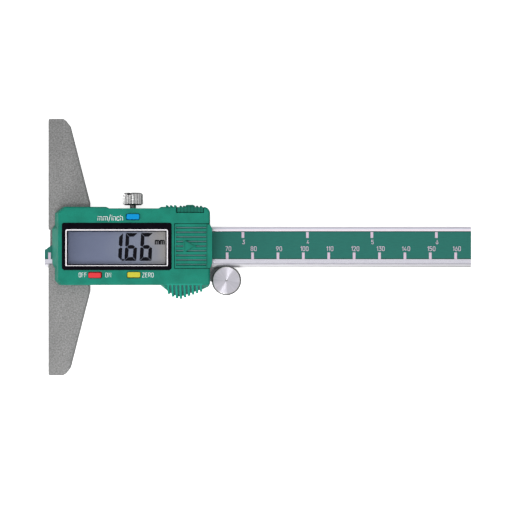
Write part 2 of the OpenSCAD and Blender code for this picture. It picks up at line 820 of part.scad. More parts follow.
bezel_gap = 0.08;
bezel_x1 = bezel_x + bezel_l;
bezel_y0 = bezel_y - bezel_h / 2;
bezel_y1 = bezel_y + bezel_h / 2;
bezel_r = 0.8;
button_at = [[unit_x, unit_y], [power_x, -low_button_y], [zero_x, -low_button_y]];

module housing() {
    color(green)
    difference() {
        union() {
            difference() {
                housing_body();
                cavity();
            }
            bosses();
        }
        // Long dip in the upper edge
        plate([[dip_x0 - dip_run, housing_top + cut], [dip_x0 - dip_run, housing_top],
            [dip_x0, housing_top - dip_d], [dip_x1, housing_top - dip_d],
            [dip_x1 + dip_run, housing_top], [dip_x1 + dip_run, housing_top + cut]],
            frame_t - cut, front_z + cut);
        plate(rect(bezel_x - bezel_gap, bezel_y0 - bezel_gap, bezel_x1 + bezel_gap,
            bezel_y1 + bezel_gap, bezel_r), wall_z - cut, front_z + cut);
        for (p = button_at) button_hole(p[0], p[1]);
        // Battery bay: the cover's recess and grooves, and the well for the cell
        plate(cover_pts(cover_gap, housing_right + cover_run), ledge_z1, front_z + cut);
        box([tongue_x0 - cover_gap, -cover_low - tongue_w - cover_gap, tongue_z0],
            [housing_right + cover_run, cover_top + tongue_w + cover_gap,
                tongue_z0 + tongue_t + cover_gap]);
        rod_z(cell_x, cell_y, cell_z0, front_z + cut, cell_d / 2 + cell_gap);
        rod_z(cell_x, cell_y, cradle_z0 - cut, front_z + cut, pip_hole_r);
        box([cell_x - contact_w / 2 - contact_gap, cell_y - cradle_r - cut, cradle_z0 - cut],
            [cell_x + contact_w / 2 + contact_gap, cell_y - cell_d / 2 + cell_gap, ledge_z0]);
        // Seat of the port cover, and the opening for its plug
        box([port_x - port_gap, port_back, frame_t + port_foot],
            [port_x + port_l + port_gap, housing_top + cut, front_z + cut]);
        box([port_mid - port_plug_half - port_gap, port_wall - cut, port_plug_z0 - port_gap],
            [port_mid + port_plug_half + port_gap, port_back + cut, port_plug_z1 + port_gap]);
        for (p = cover_screw_at)
            rod_z(p[0], p[1], frame_t - cut, cover_screw_z + screw_gap, cover_screw_r + screw_gap);
    }
}

// The display: bezel, white line, clear window and liquid crystal panel
bezel_z1 = front_z + bezel_proud;
bezel_lip = 0.4;
lcd_gap = 0.1;
window_z1 = bezel_z1 - bezel_lip;
window_z0 = window_z1 - window_t;
lcd_z1 = window_z0 - lcd_gap;
lcd_z0 = lcd_z1 - lcd_t;
bezel_wall = 0.8;
inner_r = 0.3;
line_r = 0.6;
line_inner_r = 0.2;
flange_w = 0.3;
flange_t = 0.7;
line_out = 0.85;
line_t = 0.12;
seat_gap = 0.08;
view_x0 = bezel_x + bezel_side;
view_x1 = bezel_x1 - bezel_side;
view_y0 = bezel_y0 + bezel_low;
view_y1 = bezel_y1 - bezel_top;

function bezel_pts(inset, r) = rect(bezel_x + inset, bezel_y0 + inset, bezel_x1 - inset,
    bezel_y1 - inset, r);
function line_pts(e, r) = rect(view_x0 - line_out + e, view_y0 - line_out + e,
    view_x1 + line_out - e, view_y1 + line_out - e, r);

module bezel() {
    color([0.06, 0.06, 0.07])
    difference() {
        union() {
            plate(bezel_pts(0, bezel_r), wall_z, bezel_z1);
            plate(bezel_pts(-flange_w, bezel_r), wall_z - flange_t, wall_z);
        }
        plate(rect(view_x0, view_y0, view_x1, view_y1, inner_r), wall_z - flange_t - cut,
            bezel_z1 + cut);
        plate(bezel_pts(bezel_wall, inner_r), wall_z - flange_t - cut, window_z1);
        difference() {
            plate(line_pts(0, line_r), bezel_z1 - line_t, bezel_z1 + cut);
            plate(line_pts(line_w, line_inner_r), bezel_z1 - cut, bezel_z1 + 2 * cut);
        }
    }
}

module bezel_line() {
    color("white")
    difference() {
        plate(line_pts(0, line_r), bezel_z1 - line_t, bezel_z1);
        plate(line_pts(line_w, line_inner_r), bezel_z1 - cut, bezel_z1 + cut);
    }
}

module display_window() {
    color([0.8, 0.85, 0.9, 0.4])
    plate(bezel_pts(bezel_wall + seat_gap, inner_r), window_z0, window_z1);
}

module lcd_panel() {
    color([0.5, 0.53, 0.62])
    plate(bezel_pts(bezel_wall + seat_gap, inner_r), lcd_z0, lcd_z1);
}

// Rubber strips that join the panel to the board
zebra_w = 1.4;
zebra_in = bezel_wall + 0.4;
zebra_end = 2;
module zebra_strips() {
    color("dimgray")
    for (y = [bezel_y0 + zebra_in, bezel_y1 - zebra_in - zebra_w])
        box([bezel_x + zebra_end, y, board_z1], [bezel_x1 - zebra_end, y + zebra_w, lcd_z0]);
}

// The board lies on the rails, and carries the reader, the switches and the contacts
board_gap = 0.15;
board_start = 2;
module circuit_board() {
    low = side_wall + board_gap - housing_low;
    color([0.1, 0.35, 0.2])
    difference() {
        plate(rect(cavity_x0 + board_start, low, cavity_x1 - board_gap, port_wall - board_gap),
            frame_t, board_z1);
        for (p = cover_screw_at)
            rod_z(p[0], p[1], frame_t - cut, board_z1 + cut, boss_r + board_gap);
    }
}

reader_gap = 0.15;
module reader_plate() {
    color([0.75, 0.6, 0.3])
    box([gib_x, -window_half + reader_gap, slot_top + reader_gap],
        [gib_x + gib_l, window_half - reader_gap, frame_t]);
}

chip_size = [7, 7, 1.2];
chip_back = 6;
chip_x = unit_x - chip_back;
module processor_chip() {
    color([0.1, 0.1, 0.1])
    translate([chip_x, cell_y - chip_size[1] / 2, board_z1]) cube(chip_size);
}

crystal_r = 1;
crystal_l = 6;
crystal_inset = 1;
crystal_at = [gib_x + crystal_inset, -4];
module crystal_can() {
    color("silver")
    translate([crystal_at[0], crystal_at[1], board_z1 + crystal_r]) rotate([0, 90, 0])
        cylinder(h = crystal_l, r = crystal_r);
}

switch_size = [3.6, 2.8];
switch_h = 2.2;
plunger_h = 0.6;
plunger_r = 0.8;
module key_switches() {
    color("silver")
    for (p = button_at) {
        box([p[0] - switch_size[0] / 2, p[1] - switch_size[1] / 2, board_z1],
            [p[0] + switch_size[0] / 2, min(p[1] + switch_size[1] / 2, port_wall - board_gap),
                board_z1 + switch_h]);
        rod_z(p[0], p[1], board_z1 + switch_h - slice, board_z1 + switch_h + plunger_h, plunger_r);
    }
}

// Buttons: a cap through the front wall, a flange behind it and a stem to the switch. Each
// sits a little to one side of its hole.
button_lean = [[0.1, 0.1], [-0.1, -0.1], [0.1, 0.1]];
button_r = 0.5;
button_flange = 0.55;
button_flange_t = 0.6;
flange_gap = 0.05;
stem_gap = 0.08;
stem_z0 = board_z1 + switch_h + plunger_h + button_travel + stem_gap;
module button(i) {
    p = button_at[i] + button_lean[i];
    half = [button_l, button_h] / 2;
    outer = half + [button_flange, button_flange];
    flange_z1 = wall_z - flange_gap;
    plate(rect(p[0] - half[0], p[1] - half[1], p[0] + half[0], p[1] + half[1], button_r),
        flange_z1 - flange_gap, front_z + button_proud);
    plate(rect(p[0] - outer[0], p[1] - outer[1], p[0] + outer[0], p[1] + outer[1], button_r),
        flange_z1 - button_flange_t, flange_z1);
    rod_z(p[0], p[1], stem_z0, flange_z1 - button_flange_t + slice, plunger_r);
}

module unit_button() {
    color([0.1, 0.55, 0.95]) button(0);
}
module power_button() {
    color([0.9, 0.2, 0.2]) button(1);
}
module zero_button() {
    color([0.95, 0.8, 0.15]) button(2);
}

// The cell: a can with a raised smaller cap at its lower face
cell_edge = 0.4;
cap_step = 0.3;
cap_inset = 1.2;
module battery() {
    r = cell_d / 2;
    color("silver")
    translate([cell_x, cell_y, cell_z0]) rotate_extrude()
        polygon([[0, 0], [r - cap_inset, 0], [r - cap_inset, cap_step], [r - cell_edge, cap_step],
            [r, cap_step + cell_edge], [r, cell_t - cell_edge / 2],
            [r - cell_edge / 2, cell_t], [0, cell_t]]);
}

contact_t = 0.25;
contact_r = 3;
contact_pin_r = 1.2;
module negative_contact() {
    color("gold") {
        rod_z(cell_x, cell_y, board_z1, board_z1 + contact_t, contact_r);
        rod_z(cell_x, cell_y, board_z1 + contact_t - slice, cell_z0, contact_pin_r);
    }
}

contact_lift = 0.1;
contact_foot = 1.4;
module positive_contact() {
    y1 = cell_y - cell_d / 2 - contact_lift;
    color("gold") {
        box([cell_x - contact_w / 2, y1 - contact_t, board_z1],
            [cell_x + contact_w / 2, y1, ledge_z0 - cell_gap]);
        box([cell_x - contact_w / 2, y1 - contact_foot, board_z1],
            [cell_x + contact_w / 2, y1 - contact_t + slice, board_z1 + contact_t]);
    }
}

// Battery cover: a ribbed plate on two tongues, with an end that turns down over the housing
cover_end_gap = 0.1;
cover_seat = 0.05;
cover_x1 = housing_right + cover_end_gap;
cover_end_x = housing_right + cover_out;
// Slopes at the lower and upper corners of the end, and at the plate's upper corner
end_slope_low = 1.9;
end_slope_top = 1.6;
plate_slope = [1.6, 0.2];
tongue_end = 0.4;
groove_x0 = cover_x + 0.5;
groove_x1 = housing_right - 1.3;
groove_foot_w = groove_w / 3;
arrow_x = cover_x + 4;
arrow_l = 3.5;
arrow_w = 4.2;
arrow_up = 0.35;
arrow_pad = 0.7;
arrow_tip_pad = 1.4 * arrow_pad;

module cover_end() {
    top = cover_top - plate_slope[1];
    plate([[cover_x1, -cover_low], [cover_x1 + cover_end_gap, -cover_low],
        [cover_end_x, end_slope_low - cover_low], [cover_end_x, top - end_slope_top],
        [cover_x1, top]], front_z - cover_end_h, front_z);
}

module arrow(pad, tip_pad, z0, z1) {
    plate([[arrow_x - pad, cell_y - arrow_w / 2 - pad], [arrow_x + arrow_l + tip_pad, cell_y],
        [arrow_x - pad, cell_y + arrow_w / 2 + pad]], z0, z1);
}

module groove(y) {
    floor_z = front_z - groove_d;
    along_x(groove_x0, groove_x1, [[y - groove_w / 2, front_z + slice],
        [y - groove_foot_w / 2, floor_z], [y + groove_foot_w / 2, floor_z],
        [y + groove_w / 2, front_z + slice]]);
}

module battery_cover() {
    color(green) {
        difference() {
            plate([[cover_x, -cover_low], [cover_x1 + slice, -cover_low],
                [cover_x1 + slice, cover_top - plate_slope[1]],
                [cover_x1 - plate_slope[0], cover_top], [cover_x, cover_top]],
                ledge_z1 + cover_seat, front_z);
            difference() {
                union() {
                    for (i = [0:cover_grooves - 1])
                        groove(cell_y + (i - (cover_grooves - 1) / 2) * groove_pitch);
                }
                arrow(arrow_pad, arrow_tip_pad, ledge_z1, front_z + cut);
            }
        }
        box([tongue_x0, -cover_low - tongue_w, tongue_z0 + cover_seat],
            [cover_x1 - tongue_end, cover_top + tongue_w, tongue_z0 + tongue_t]);
        cover_end();
        arrow(0, 0, front_z - slice, front_z + arrow_up);
    }
}

// Data port: a snap-in cover with a plug, and the socket behind it
port_rib_x = [-3.7, -2.4, 2.7, 4.2];
port_rib_r = 0.4;
port_rib_out = 0.1;
port_pull_in = 1.2;
port_pull_r = 0.8;
port_edge = 0.1;
port_drop = 0.35;
port_step = 0.6;
port_z0 = frame_t + port_foot + port_gap;
module port_cover() {
    half = port_pull_l / 2;
    y1 = housing_top - port_edge;
    z1 = front_z - port_step;
    color(green) {
        box([port_x, port_y, port_z0], [port_x + port_l, y1, front_z - port_drop]);
        plate(rect(port_mid - half, y1 - port_pull_in, port_mid + half,
            housing_top + port_pull_out, port_pull_r), port_z0, z1);
        for (dx = port_rib_x)
            rod_z(port_mid + dx, housing_top + port_rib_out, port_z0, z1, port_rib_r);
        box([port_mid - port_plug_half, port_wall + port_edge, port_plug_z0],
            [port_mid + port_plug_half, port_y + slice, port_plug_z1]);
    }
}

pin_count = 5;
pin_pitch = 1.3;
pin_w = 0.7;
pin_d = 1;
pin_low = 0.4;
pin_top = 0.6;
socket_d = 3;
module port_socket() {
    y1 = port_wall - board_gap;
    color([0.15, 0.15, 0.16])
    difference() {
        box([port_mid - port_plug_half, y1 - socket_d, board_z1],
            [port_mid + port_plug_half, y1, port_plug_z1]);
        for (i = [0:pin_count - 1]) {
            x = port_mid + (i - (pin_count - 1) / 2) * pin_pitch;
            box([x - pin_w / 2, y1 - pin_d, port_plug_z0 + pin_low],
                [x + pin_w / 2, y1 + cut, port_plug_z1 - pin_top]);
        }
    }
}

base_frame();
back_plate();
back_plate_screws();
cover_screws();
gib_strip();
gib_screws();
lock_screw();
beam();
scale_strip();
scale_label();
scale_marks();
stop_screw();
roller_bracket();
bracket_screws();
roller_axle();
thumb_roller();
housing();
bezel();
bezel_line();
display_window();
lcd_panel();
zebra_strips();
circuit_board();
reader_plate();
processor_chip();
crystal_can();
key_switches();
unit_button();
power_button();
zero_button();
battery();
negative_contact();
positive_contact();
battery_cover();
port_cover();
port_socket();
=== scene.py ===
"""The looks of the digital depth gauge: finishes, printing, display segments, light and camera.

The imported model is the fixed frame. Its solids keep their places and get softened edges and
procedural materials here. Printed words, numerals and display segments are thin pieces of their own.
Lengths in this script are in millimetres, and MM turns them into Blender's metres.
"""

import math

import bpy
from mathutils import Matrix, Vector


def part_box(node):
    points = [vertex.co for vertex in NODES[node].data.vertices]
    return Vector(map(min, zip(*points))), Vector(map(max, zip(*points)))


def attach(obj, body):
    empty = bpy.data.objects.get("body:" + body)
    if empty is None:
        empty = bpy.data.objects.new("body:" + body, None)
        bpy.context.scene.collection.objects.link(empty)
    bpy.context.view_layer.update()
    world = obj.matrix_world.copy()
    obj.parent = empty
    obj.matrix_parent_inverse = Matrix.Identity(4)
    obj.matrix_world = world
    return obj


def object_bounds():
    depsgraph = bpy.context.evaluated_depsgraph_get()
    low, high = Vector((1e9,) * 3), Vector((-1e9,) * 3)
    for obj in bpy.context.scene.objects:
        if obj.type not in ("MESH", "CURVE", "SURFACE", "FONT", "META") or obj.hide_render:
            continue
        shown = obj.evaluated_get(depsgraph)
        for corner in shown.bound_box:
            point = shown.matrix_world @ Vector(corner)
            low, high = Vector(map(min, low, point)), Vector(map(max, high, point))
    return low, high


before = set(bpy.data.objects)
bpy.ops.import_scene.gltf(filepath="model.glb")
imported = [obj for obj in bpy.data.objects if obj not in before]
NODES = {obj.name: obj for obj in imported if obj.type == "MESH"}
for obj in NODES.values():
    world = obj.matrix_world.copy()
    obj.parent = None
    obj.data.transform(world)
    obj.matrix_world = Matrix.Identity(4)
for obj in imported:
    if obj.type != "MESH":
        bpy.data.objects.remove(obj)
cad_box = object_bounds()

MM = 0.001


def low(node):
    """Lowest corner of a node, in millimetres."""
    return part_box(node)[0] / MM


def high(node):
    """Highest corner of a node, in millimetres."""
    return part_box(node)[1] / MM


# Camera: it looks straight down, and its picture is 201 mm wide at the crosspiece's face
LENS = 105
SENSOR = 36
CAMERA_AT = (81.6, -3.5, 594)


def make_camera():
    data = bpy.data.cameras.new("camera")
    data.type = "PERSP"
    data.lens = LENS
    data.sensor_width = SENSOR
    camera = bpy.data.objects.new("camera", data)
    camera.location = Vector(CAMERA_AT) * MM
    bpy.context.scene.collection.objects.link(camera)
    bpy.context.scene.camera = camera


# Node helpers
BLACK = (0.0, 0.0, 0.0)
WHITE = (1.0, 1.0, 1.0)
SOCKETS = {
    "base": "Base Color", "metallic": "Metallic", "roughness": "Roughness", "alpha": "Alpha",
    "specular": "Specular IOR Level", "anisotropic": "Anisotropic", "normal": "Normal",
    "tangent": "Tangent", "turn": "Anisotropic Rotation",
}
OCCLUSION_RAYS = 6


class Nodes:
    """A material with one Principled shader, and short calls that add nodes in front of it."""

    def __init__(self, name, **constants):
        self.material = bpy.data.materials.new(name)
        self.material.use_nodes = True
        self.tree = self.material.node_tree
        self.shader = self.tree.nodes["Principled BSDF"]
        for socket, value in constants.items():
            self.shader.inputs[SOCKETS[socket]].default_value = value

    def add(self, kind, **settings):
        node = self.tree.nodes.new(kind)
        for name, value in settings.items():
            setattr(node, name, value)
        return node

    def link(self, source, target):
        self.tree.links.new(source, target)

    def feed(self, source, socket):
        """Links a socket to one of the shader's inputs."""
        self.link(source, self.shader.inputs[SOCKETS[socket]])

    def put(self, value, target):
        """Gives an input a socket, a colour or a number."""
        if isinstance(value, bpy.types.NodeSocket):
            self.link(value, target)
        else:
            target.default_value = (*value, 1) if isinstance(value, tuple) else value

    def place(self, scale=(1, 1, 1)):
        """Object coordinates in millimetres, times a scale for each axis."""
        coordinates = self.add("ShaderNodeTexCoord")
        mapping = self.add("ShaderNodeMapping")
        mapping.inputs["Scale"].default_value = [s / MM for s in scale]
        self.link(coordinates.outputs["Object"], mapping.inputs["Vector"])
        return mapping.outputs["Vector"]

    def axes(self, letters):
        """The named object coordinates in millimetres, one socket for each letter."""
        split = self.add("ShaderNodeSeparateXYZ")
        self.link(self.place(), split.inputs["Vector"])
        return [split.outputs[letter] for letter in letters]

    def axis(self, letter):
        return self.axes(letter)[0]

    def noise(self, vector, frequency=1.0, detail=3.0, roughness=0.5):
        node = self.add("ShaderNodeTexNoise")
        node.inputs["Scale"].default_value = frequency
        node.inputs["Detail"].default_value = detail
        node.inputs["Roughness"].default_value = roughness
        self.link(vector, node.inputs["Vector"])
        return node.outputs["Fac"]

    def remap(self, value, from_low, from_high, to_low=0.0, to_high=1.0):
        """A value moved from one range to another, and held inside the new one."""
        node = self.add("ShaderNodeMapRange")
        limits = {"From Min": from_low, "From Max": from_high, "To Min": to_low, "To Max": to_high}
        for name, number in limits.items():
            node.inputs[name].default_value = number
        self.link(value, node.inputs["Value"])
        return node.outputs["Result"]

    def contrast(self, pattern, edge=0.3, to_low=0.0, to_high=1.0):
        """A noise stretched about its middle: the range from edge to 1 - edge becomes the new one."""
        return self.remap(pattern, edge, 1 - edge, to_low, to_high)

    def colours(self, value, stops, steps="LINEAR"):
        """A colour ramp: stops are (place, colour) pairs."""
        node = self.add("ShaderNodeValToRGB")
        ramp = node.color_ramp
        ramp.interpolation = steps
        while len(ramp.elements) < len(stops):
            ramp.elements.new(1)
        for element, (place, colour) in zip(ramp.elements, stops):
            element.position = place
            element.color = (*colour, 1)
        self.link(value, node.inputs["Fac"])
        return node.outputs["Color"]

    def mix(self, factor, first, second):
        """Blend of two colours; each may be a socket or a colour."""
        node = self.add("ShaderNodeMix", data_type="RGBA")
        for value, name in ((factor, "Factor_Float"), (first, "A_Color"), (second, "B_Color")):
            self.put(value, next(s for s in node.inputs if s.identifier == name))
        return next(s for s in node.outputs if s.identifier == "Result_Color")

    def toned(self, pattern, body, darker, lighter):
        """A colour that a pattern takes some way toward black and some way toward white."""
        return self.mix(pattern, self.mix(darker, body, BLACK), self.mix(lighter, body, WHITE))

    def shaded(self, pattern, base, darker, lighter):
        """A fixed colour that a pattern multiplies by a factor between two limits."""
        return self.mix(pattern, shade(base, darker), shade(base, lighter))

    def maths(self, operation, first, second=0):
        node = self.add("ShaderNodeMath", operation=operation)
        self.put(first, node.inputs[0])
        self.put(second, node.inputs[1])
        return node.outputs[0]

    def times(self, first, second):
        return self.maths("MULTIPLY", first, second)

    def between(self, value, start, end, blur):
        """1 where a value lies between two limits, and 0 outside them."""
        rise = self.remap(value, start - blur, start)
        fall = self.remap(value, end, end + blur, 1.0, 0.0)
        return self.times(rise, fall)

    def crevices(self):
        """Near 0 in grooves and gaps, and 1 on open faces."""
        node = self.add("ShaderNodeAmbientOcclusion", samples=OCCLUSION_RAYS)
        node.inputs["Distance"].default_value = SHADE_REACH * MM
        return node.outputs["AO"]

    def rough(self, pattern, smooth, coarse, edge=0.3):
        """Roughness that follows a pattern between two limits."""
        self.feed(self.contrast(pattern, edge, smooth, coarse), "roughness")

    def bump(self, height, depth):
        """Bump from a height of 0 to 1, with its full depth in millimetres."""
        node = self.add("ShaderNodeBump")
        node.inputs["Strength"].default_value = 1.0
        node.inputs["Distance"].default_value = depth * MM
        self.link(height, node.inputs["Height"])
        self.feed(node.outputs["Normal"], "normal")


def shade(colour, factor):
    return tuple(c * factor for c in colour)


# Metals
METAL = {"metallic": 1.0, "specular": 0.5}
SATIN_DARK = (0.2, 0.2, 0.198)
SATIN_LIGHT = (0.25, 0.25, 0.248)
# How much smoother and rougher than its stated value a plain metal or a moulding gets
SMOOTHER = 0.06
ROUGHER = 0.08


def satin_steel():
    """Fine blasted steel: a tight grain with faint clouds."""
    m = Nodes("satin_steel", **METAL)
    grain = m.noise(m.place(), frequency=1.7, detail=4.0, roughness=0.75)
    cloud = m.noise(m.place((0.12, 0.05, 0.12)), roughness=0.55)
    body = m.mix(m.contrast(cloud), SATIN_DARK, SATIN_LIGHT)
    m.feed(m.toned(m.contrast(grain, 0.35), body, darker=0.32, lighter=0.14), "base")
    m.rough(grain, smooth=0.46, coarse=0.6, edge=0.2)
    m.bump(grain, depth=0.02)
    return m.material


def scratches(m, scale):
    """Fine lines of grinding, stretched along the axis of the lowest scale."""
    return m.noise(m.place(scale), detail=5.0, roughness=0.7)


def ground_steel(name, scale, base):
    """Bright steel ground in one direction."""
    m = Nodes(name, **METAL)
    lines = scratches(m, scale)
    m.feed(m.shaded(m.contrast(lines), base, darker=0.92, lighter=1.06), "base")
    m.rough(lines, smooth=0.2, coarse=0.34, edge=0.25)
    m.bump(lines, depth=0.004)
    return m.material


# Where each band of the beam begins, measured across it, and its colour, which paints the sheen and
# shade of each land and chamfer
BEAM_SHEEN_BANDS = [
    (-8.0, (0.45, 0.45, 0.45)), (-7.65, (0.68, 0.67, 0.71)), (-6.9, (0.62, 0.61, 0.66)),
    (-6.6, (0.46, 0.45, 0.52)), (-6.35, (0.68, 0.67, 0.75)), (6.3, (0.98, 0.86, 0.95)),
    (6.95, (0.88, 0.88, 1.0)), (7.5, (0.94, 0.9, 1.0)),
]
# The flat lands end between these distances from the centre line, and the chamfers are rougher
LAND_END = (6.8, 7.0)
CHAMFER_ROUGH = 0.2


def beam_steel():
    """The beam: ground along its length, with painted sheen and shade in the colour of each land and
    chamfer, and rougher chamfers.
    """
    m = Nodes("beam_steel", **METAL)
    lines = scratches(m, (0.15, 7, 7))
    start, end = low("beam").y, high("beam").y
    stops = [((y - start) / (end - start), colour) for y, colour in BEAM_SHEEN_BANDS]
    body = m.colours(m.remap(m.axis("Y"), start, end), stops, "CONSTANT")
    m.feed(m.toned(m.contrast(lines), body, darker=0.1, lighter=0.07), "base")
    slope = m.remap(m.maths("ABSOLUTE", m.axis("Y")), *LAND_END, 0.0, CHAMFER_ROUGH)
    sheen = m.contrast(lines, 0.25, to_low=0.22, to_high=0.34)
    m.feed(m.maths("ADD", sheen, slope), "roughness")
    m.bump(lines, depth=0.004)
    return m.material


def polar(m, plane, centre):
    """Distance from an axis in millimetres, and the angle about it, across the two named axes."""
    offs = [m.maths("SUBTRACT", socket, getattr(centre, letter.lower()))
            for letter, socket in zip(plane, m.axes(plane))]
    squares = [m.times(off, off) for off in offs]
    return m.maths("SQRT", m.maths("ADD", *squares)), m.maths("ARCTAN2", *offs)


def lines_along(m, value, frequency):
    """Noise that changes with one value only, such as rings or rays."""
    combine = m.add("ShaderNodeCombineXYZ")
    m.link(value, combine.inputs["X"])
    return m.noise(combine.outputs["Vector"], frequency, roughness=0.6)


# The roller's colour at each distance from its centre, with painted shade in the centre dimple and on
# the rim and a painted highlight on the chamfer ring
ROLLER_BANDS_WITH_LIGHT = [
    (0.0, (0.35, 0.34, 0.36)), (0.3, (0.5, 0.49, 0.52)), (0.5, (0.72, 0.7, 0.78)),
    (5.0, (0.72, 0.7, 0.78)), (5.1, (0.84, 0.82, 0.84)), (5.3, (0.84, 0.82, 0.84)),
    (5.4, (0.04, 0.04, 0.045)), (6.0, (0.04, 0.04, 0.045)),
]
# Its rim of painted shade is this deep, and its knurled wall below the rim is bright
SHADED_RIM_DEPTH = 0.5
WALL_BLUR = 0.15
ROLLER_WALL = (0.85, 0.83, 0.88)
# Shares of the rings and of the rays, which are painted streaks of sheen, in the roller's pattern
RING_SHARE = 0.35
SHEEN_RAY_SHARE = 0.65


def roller_steel():
    """The roller: a turned face with rings, rays of painted sheen, painted shade in its dimple, a
    painted highlight on its chamfer and painted shade on its rim.
    """
    m = Nodes("roller_steel", **METAL, anisotropic=0.95, turn=0.25)
    radius, angle = polar(m, "XY", (low("thumb_roller") + high("thumb_roller")) / 2)
    rings = lines_along(m, radius, frequency=9.0)
    rays = lines_along(m, angle, frequency=3.5)
    reach = ROLLER_BANDS_WITH_LIGHT[-1][0]
    stops = [(place / reach, colour) for place, colour in ROLLER_BANDS_WITH_LIGHT]
    rim_end = high("thumb_roller").z - SHADED_RIM_DEPTH
    wall = m.remap(m.axis("Z"), rim_end - WALL_BLUR, rim_end, 1.0, 0.0)
    body = m.mix(wall, m.colours(m.remap(radius, 0.0, reach), stops), ROLLER_WALL)
    tone = m.maths("ADD", m.contrast(rings, to_high=RING_SHARE),
                   m.contrast(rays, 0.35, to_high=SHEEN_RAY_SHARE))
    m.feed(m.toned(tone, body, darker=0.18, lighter=0.14), "base")
    m.rough(rings, smooth=0.3, coarse=0.42, edge=0.25)
    tangent = m.add("ShaderNodeTangent", direction_type="RADIAL", axis="Z")
    m.feed(tangent.outputs["Tangent"], "tangent")
    m.bump(rings, depth=0.003)
    return m.material


# Radii of the lock screw's valleys and teeth: painted shade fills the valleys and fades out toward the
# teeth
LOCK_TEETH = (3.68, 3.92)
# The ring of painted shade at the end of its head begins between these depths
LOCK_SHADE_RING = (0.6, 0.35)
LOCK_SHADE = (0.16, 0.16, 0.16)
LOCK_WORN = (0.4, 0.4, 0.4)
LOCK_BRIGHT = (1.0, 0.99, 0.99)


def lock_steel():
    """The lock screw: bright, partly worn teeth with painted shade in the valleys, and a ring of
    painted shade round its end.
    """
    m = Nodes("lock_steel", **METAL)
    radius, angle = polar(m, "XZ", (low("lock_screw") + high("lock_screw")) / 2)
    grains = m.noise(m.place(), frequency=4.0, detail=4.0, roughness=0.6)
    wear = m.contrast(lines_along(m, angle, frequency=4.0), 0.4)
    spots = m.remap(m.noise(m.place(), frequency=0.9, detail=2.0, roughness=0.6), 0.45, 0.6)
    worn = m.mix(wear, LOCK_WORN, LOCK_BRIGHT)
    body = m.mix(m.remap(radius, *LOCK_TEETH), LOCK_SHADE, m.mix(spots, worn, LOCK_BRIGHT))
    ring = m.remap(m.axis("Y"), *(high("lock_screw").y - depth for depth in LOCK_SHADE_RING))
    m.feed(m.mix(ring, body, LOCK_SHADE), "base")
    m.rough(grains, smooth=0.26, coarse=0.42)
    m.bump(grains, depth=0.01)
    return m.material


def plain_metal(name, base, roughness, grain=0.006, metallic=1.0):
    """Metal with a light, even grain and worn patches."""
    m = Nodes(name, metallic=metallic, specular=0.5)
    grains = m.noise(m.place(), frequency=4.0, detail=4.0, roughness=0.6)
    patch = m.noise(m.place(), frequency=0.6, detail=2.0)
    m.feed(m.shaded(m.contrast(patch, 0.35), base, darker=0.85, lighter=1.1), "base")
    m.rough(grains, roughness - SMOOTHER, roughness + ROUGHER)
    m.bump(grains, depth=grain)
    return m.material


# Plastics, print and glass
GREEN = (0.007, 0.215, 0.15)
# How far open faces lie from the grooves that get painted shade, and the range of openness that counts
SHADE_REACH = 0.9
SHADE_RANGE = (0.35, 0.85)


def moulded(name, base, roughness, grain=0.01, specular=0.3, variation=0.06, crevice_shade=0.0, marks=None):
    """Moulded plastic with a fine spark texture, a faint flow pattern and, where asked for, painted
    shade in its grooves and gaps.

    Marks, if given, is a function that takes the material and its colour and returns a new colour.
    """
    m = Nodes(name, specular=specular)
    grains = m.noise(m.place(), frequency=2.2, detail=4.0, roughness=0.75)
    flow = m.noise(m.place((0.2, 0.2, 0.2)), detail=2.0)
    tone = m.maths("ADD", m.contrast(flow, 0.35, to_high=0.5), m.contrast(grains, 0.35, to_high=0.5))
    body = m.shaded(tone, base, 1 - variation, 1 + variation)
    # Painted shade: ambient occlusion darkens the grooves and gaps
    if crevice_shade:
        body = m.mix(m.remap(m.crevices(), *SHADE_RANGE), shade(base, 1 - crevice_shade), body)
    m.feed(marks(m, body) if marks else body, "base")
    m.rough(grains, roughness - SMOOTHER, roughness + ROUGHER, edge=0.25)
    m.bump(grains, depth=grain)
    return m.material


GROOVE_DEPTH = 0.5
# The painted sheen, a highlight on the groove floors, lies from just under a groove's floor to just
# above it
SHEEN_BELOW = 0.02
SHEEN_ABOVE = 0.05
# How far it keeps off the cover's left end and the housing's right edge, and off the cover's
# lower and upper sides
SHEEN_ENDS = (0.3, 1.2)
SHEEN_SIDES = (2.0, 1.0)
SHEEN_BLUR = 0.05
# Painted sheen: the pale grey of a highlight on the groove floors
GROOVE_SHEEN = (0.11, 0.225, 0.225)
# How far the painted shade on the arrow's sides keeps off their foot and their top edge
ARROW_BAND = 0.03
ARROW_BLUR = 0.02
ARROW_SHADE = shade(GREEN, 0.15)
# The line of painted shade at the step before the cover's end: how far it lies inside the housing's
# right edge, and its width
SEAM_IN = 1.1
SEAM_WIDTH = 0.15
SEAM_BLUR = 0.12
SEAM_STRENGTH = 0.8
SEAM_SHADE = shade(GREEN, 0.2)


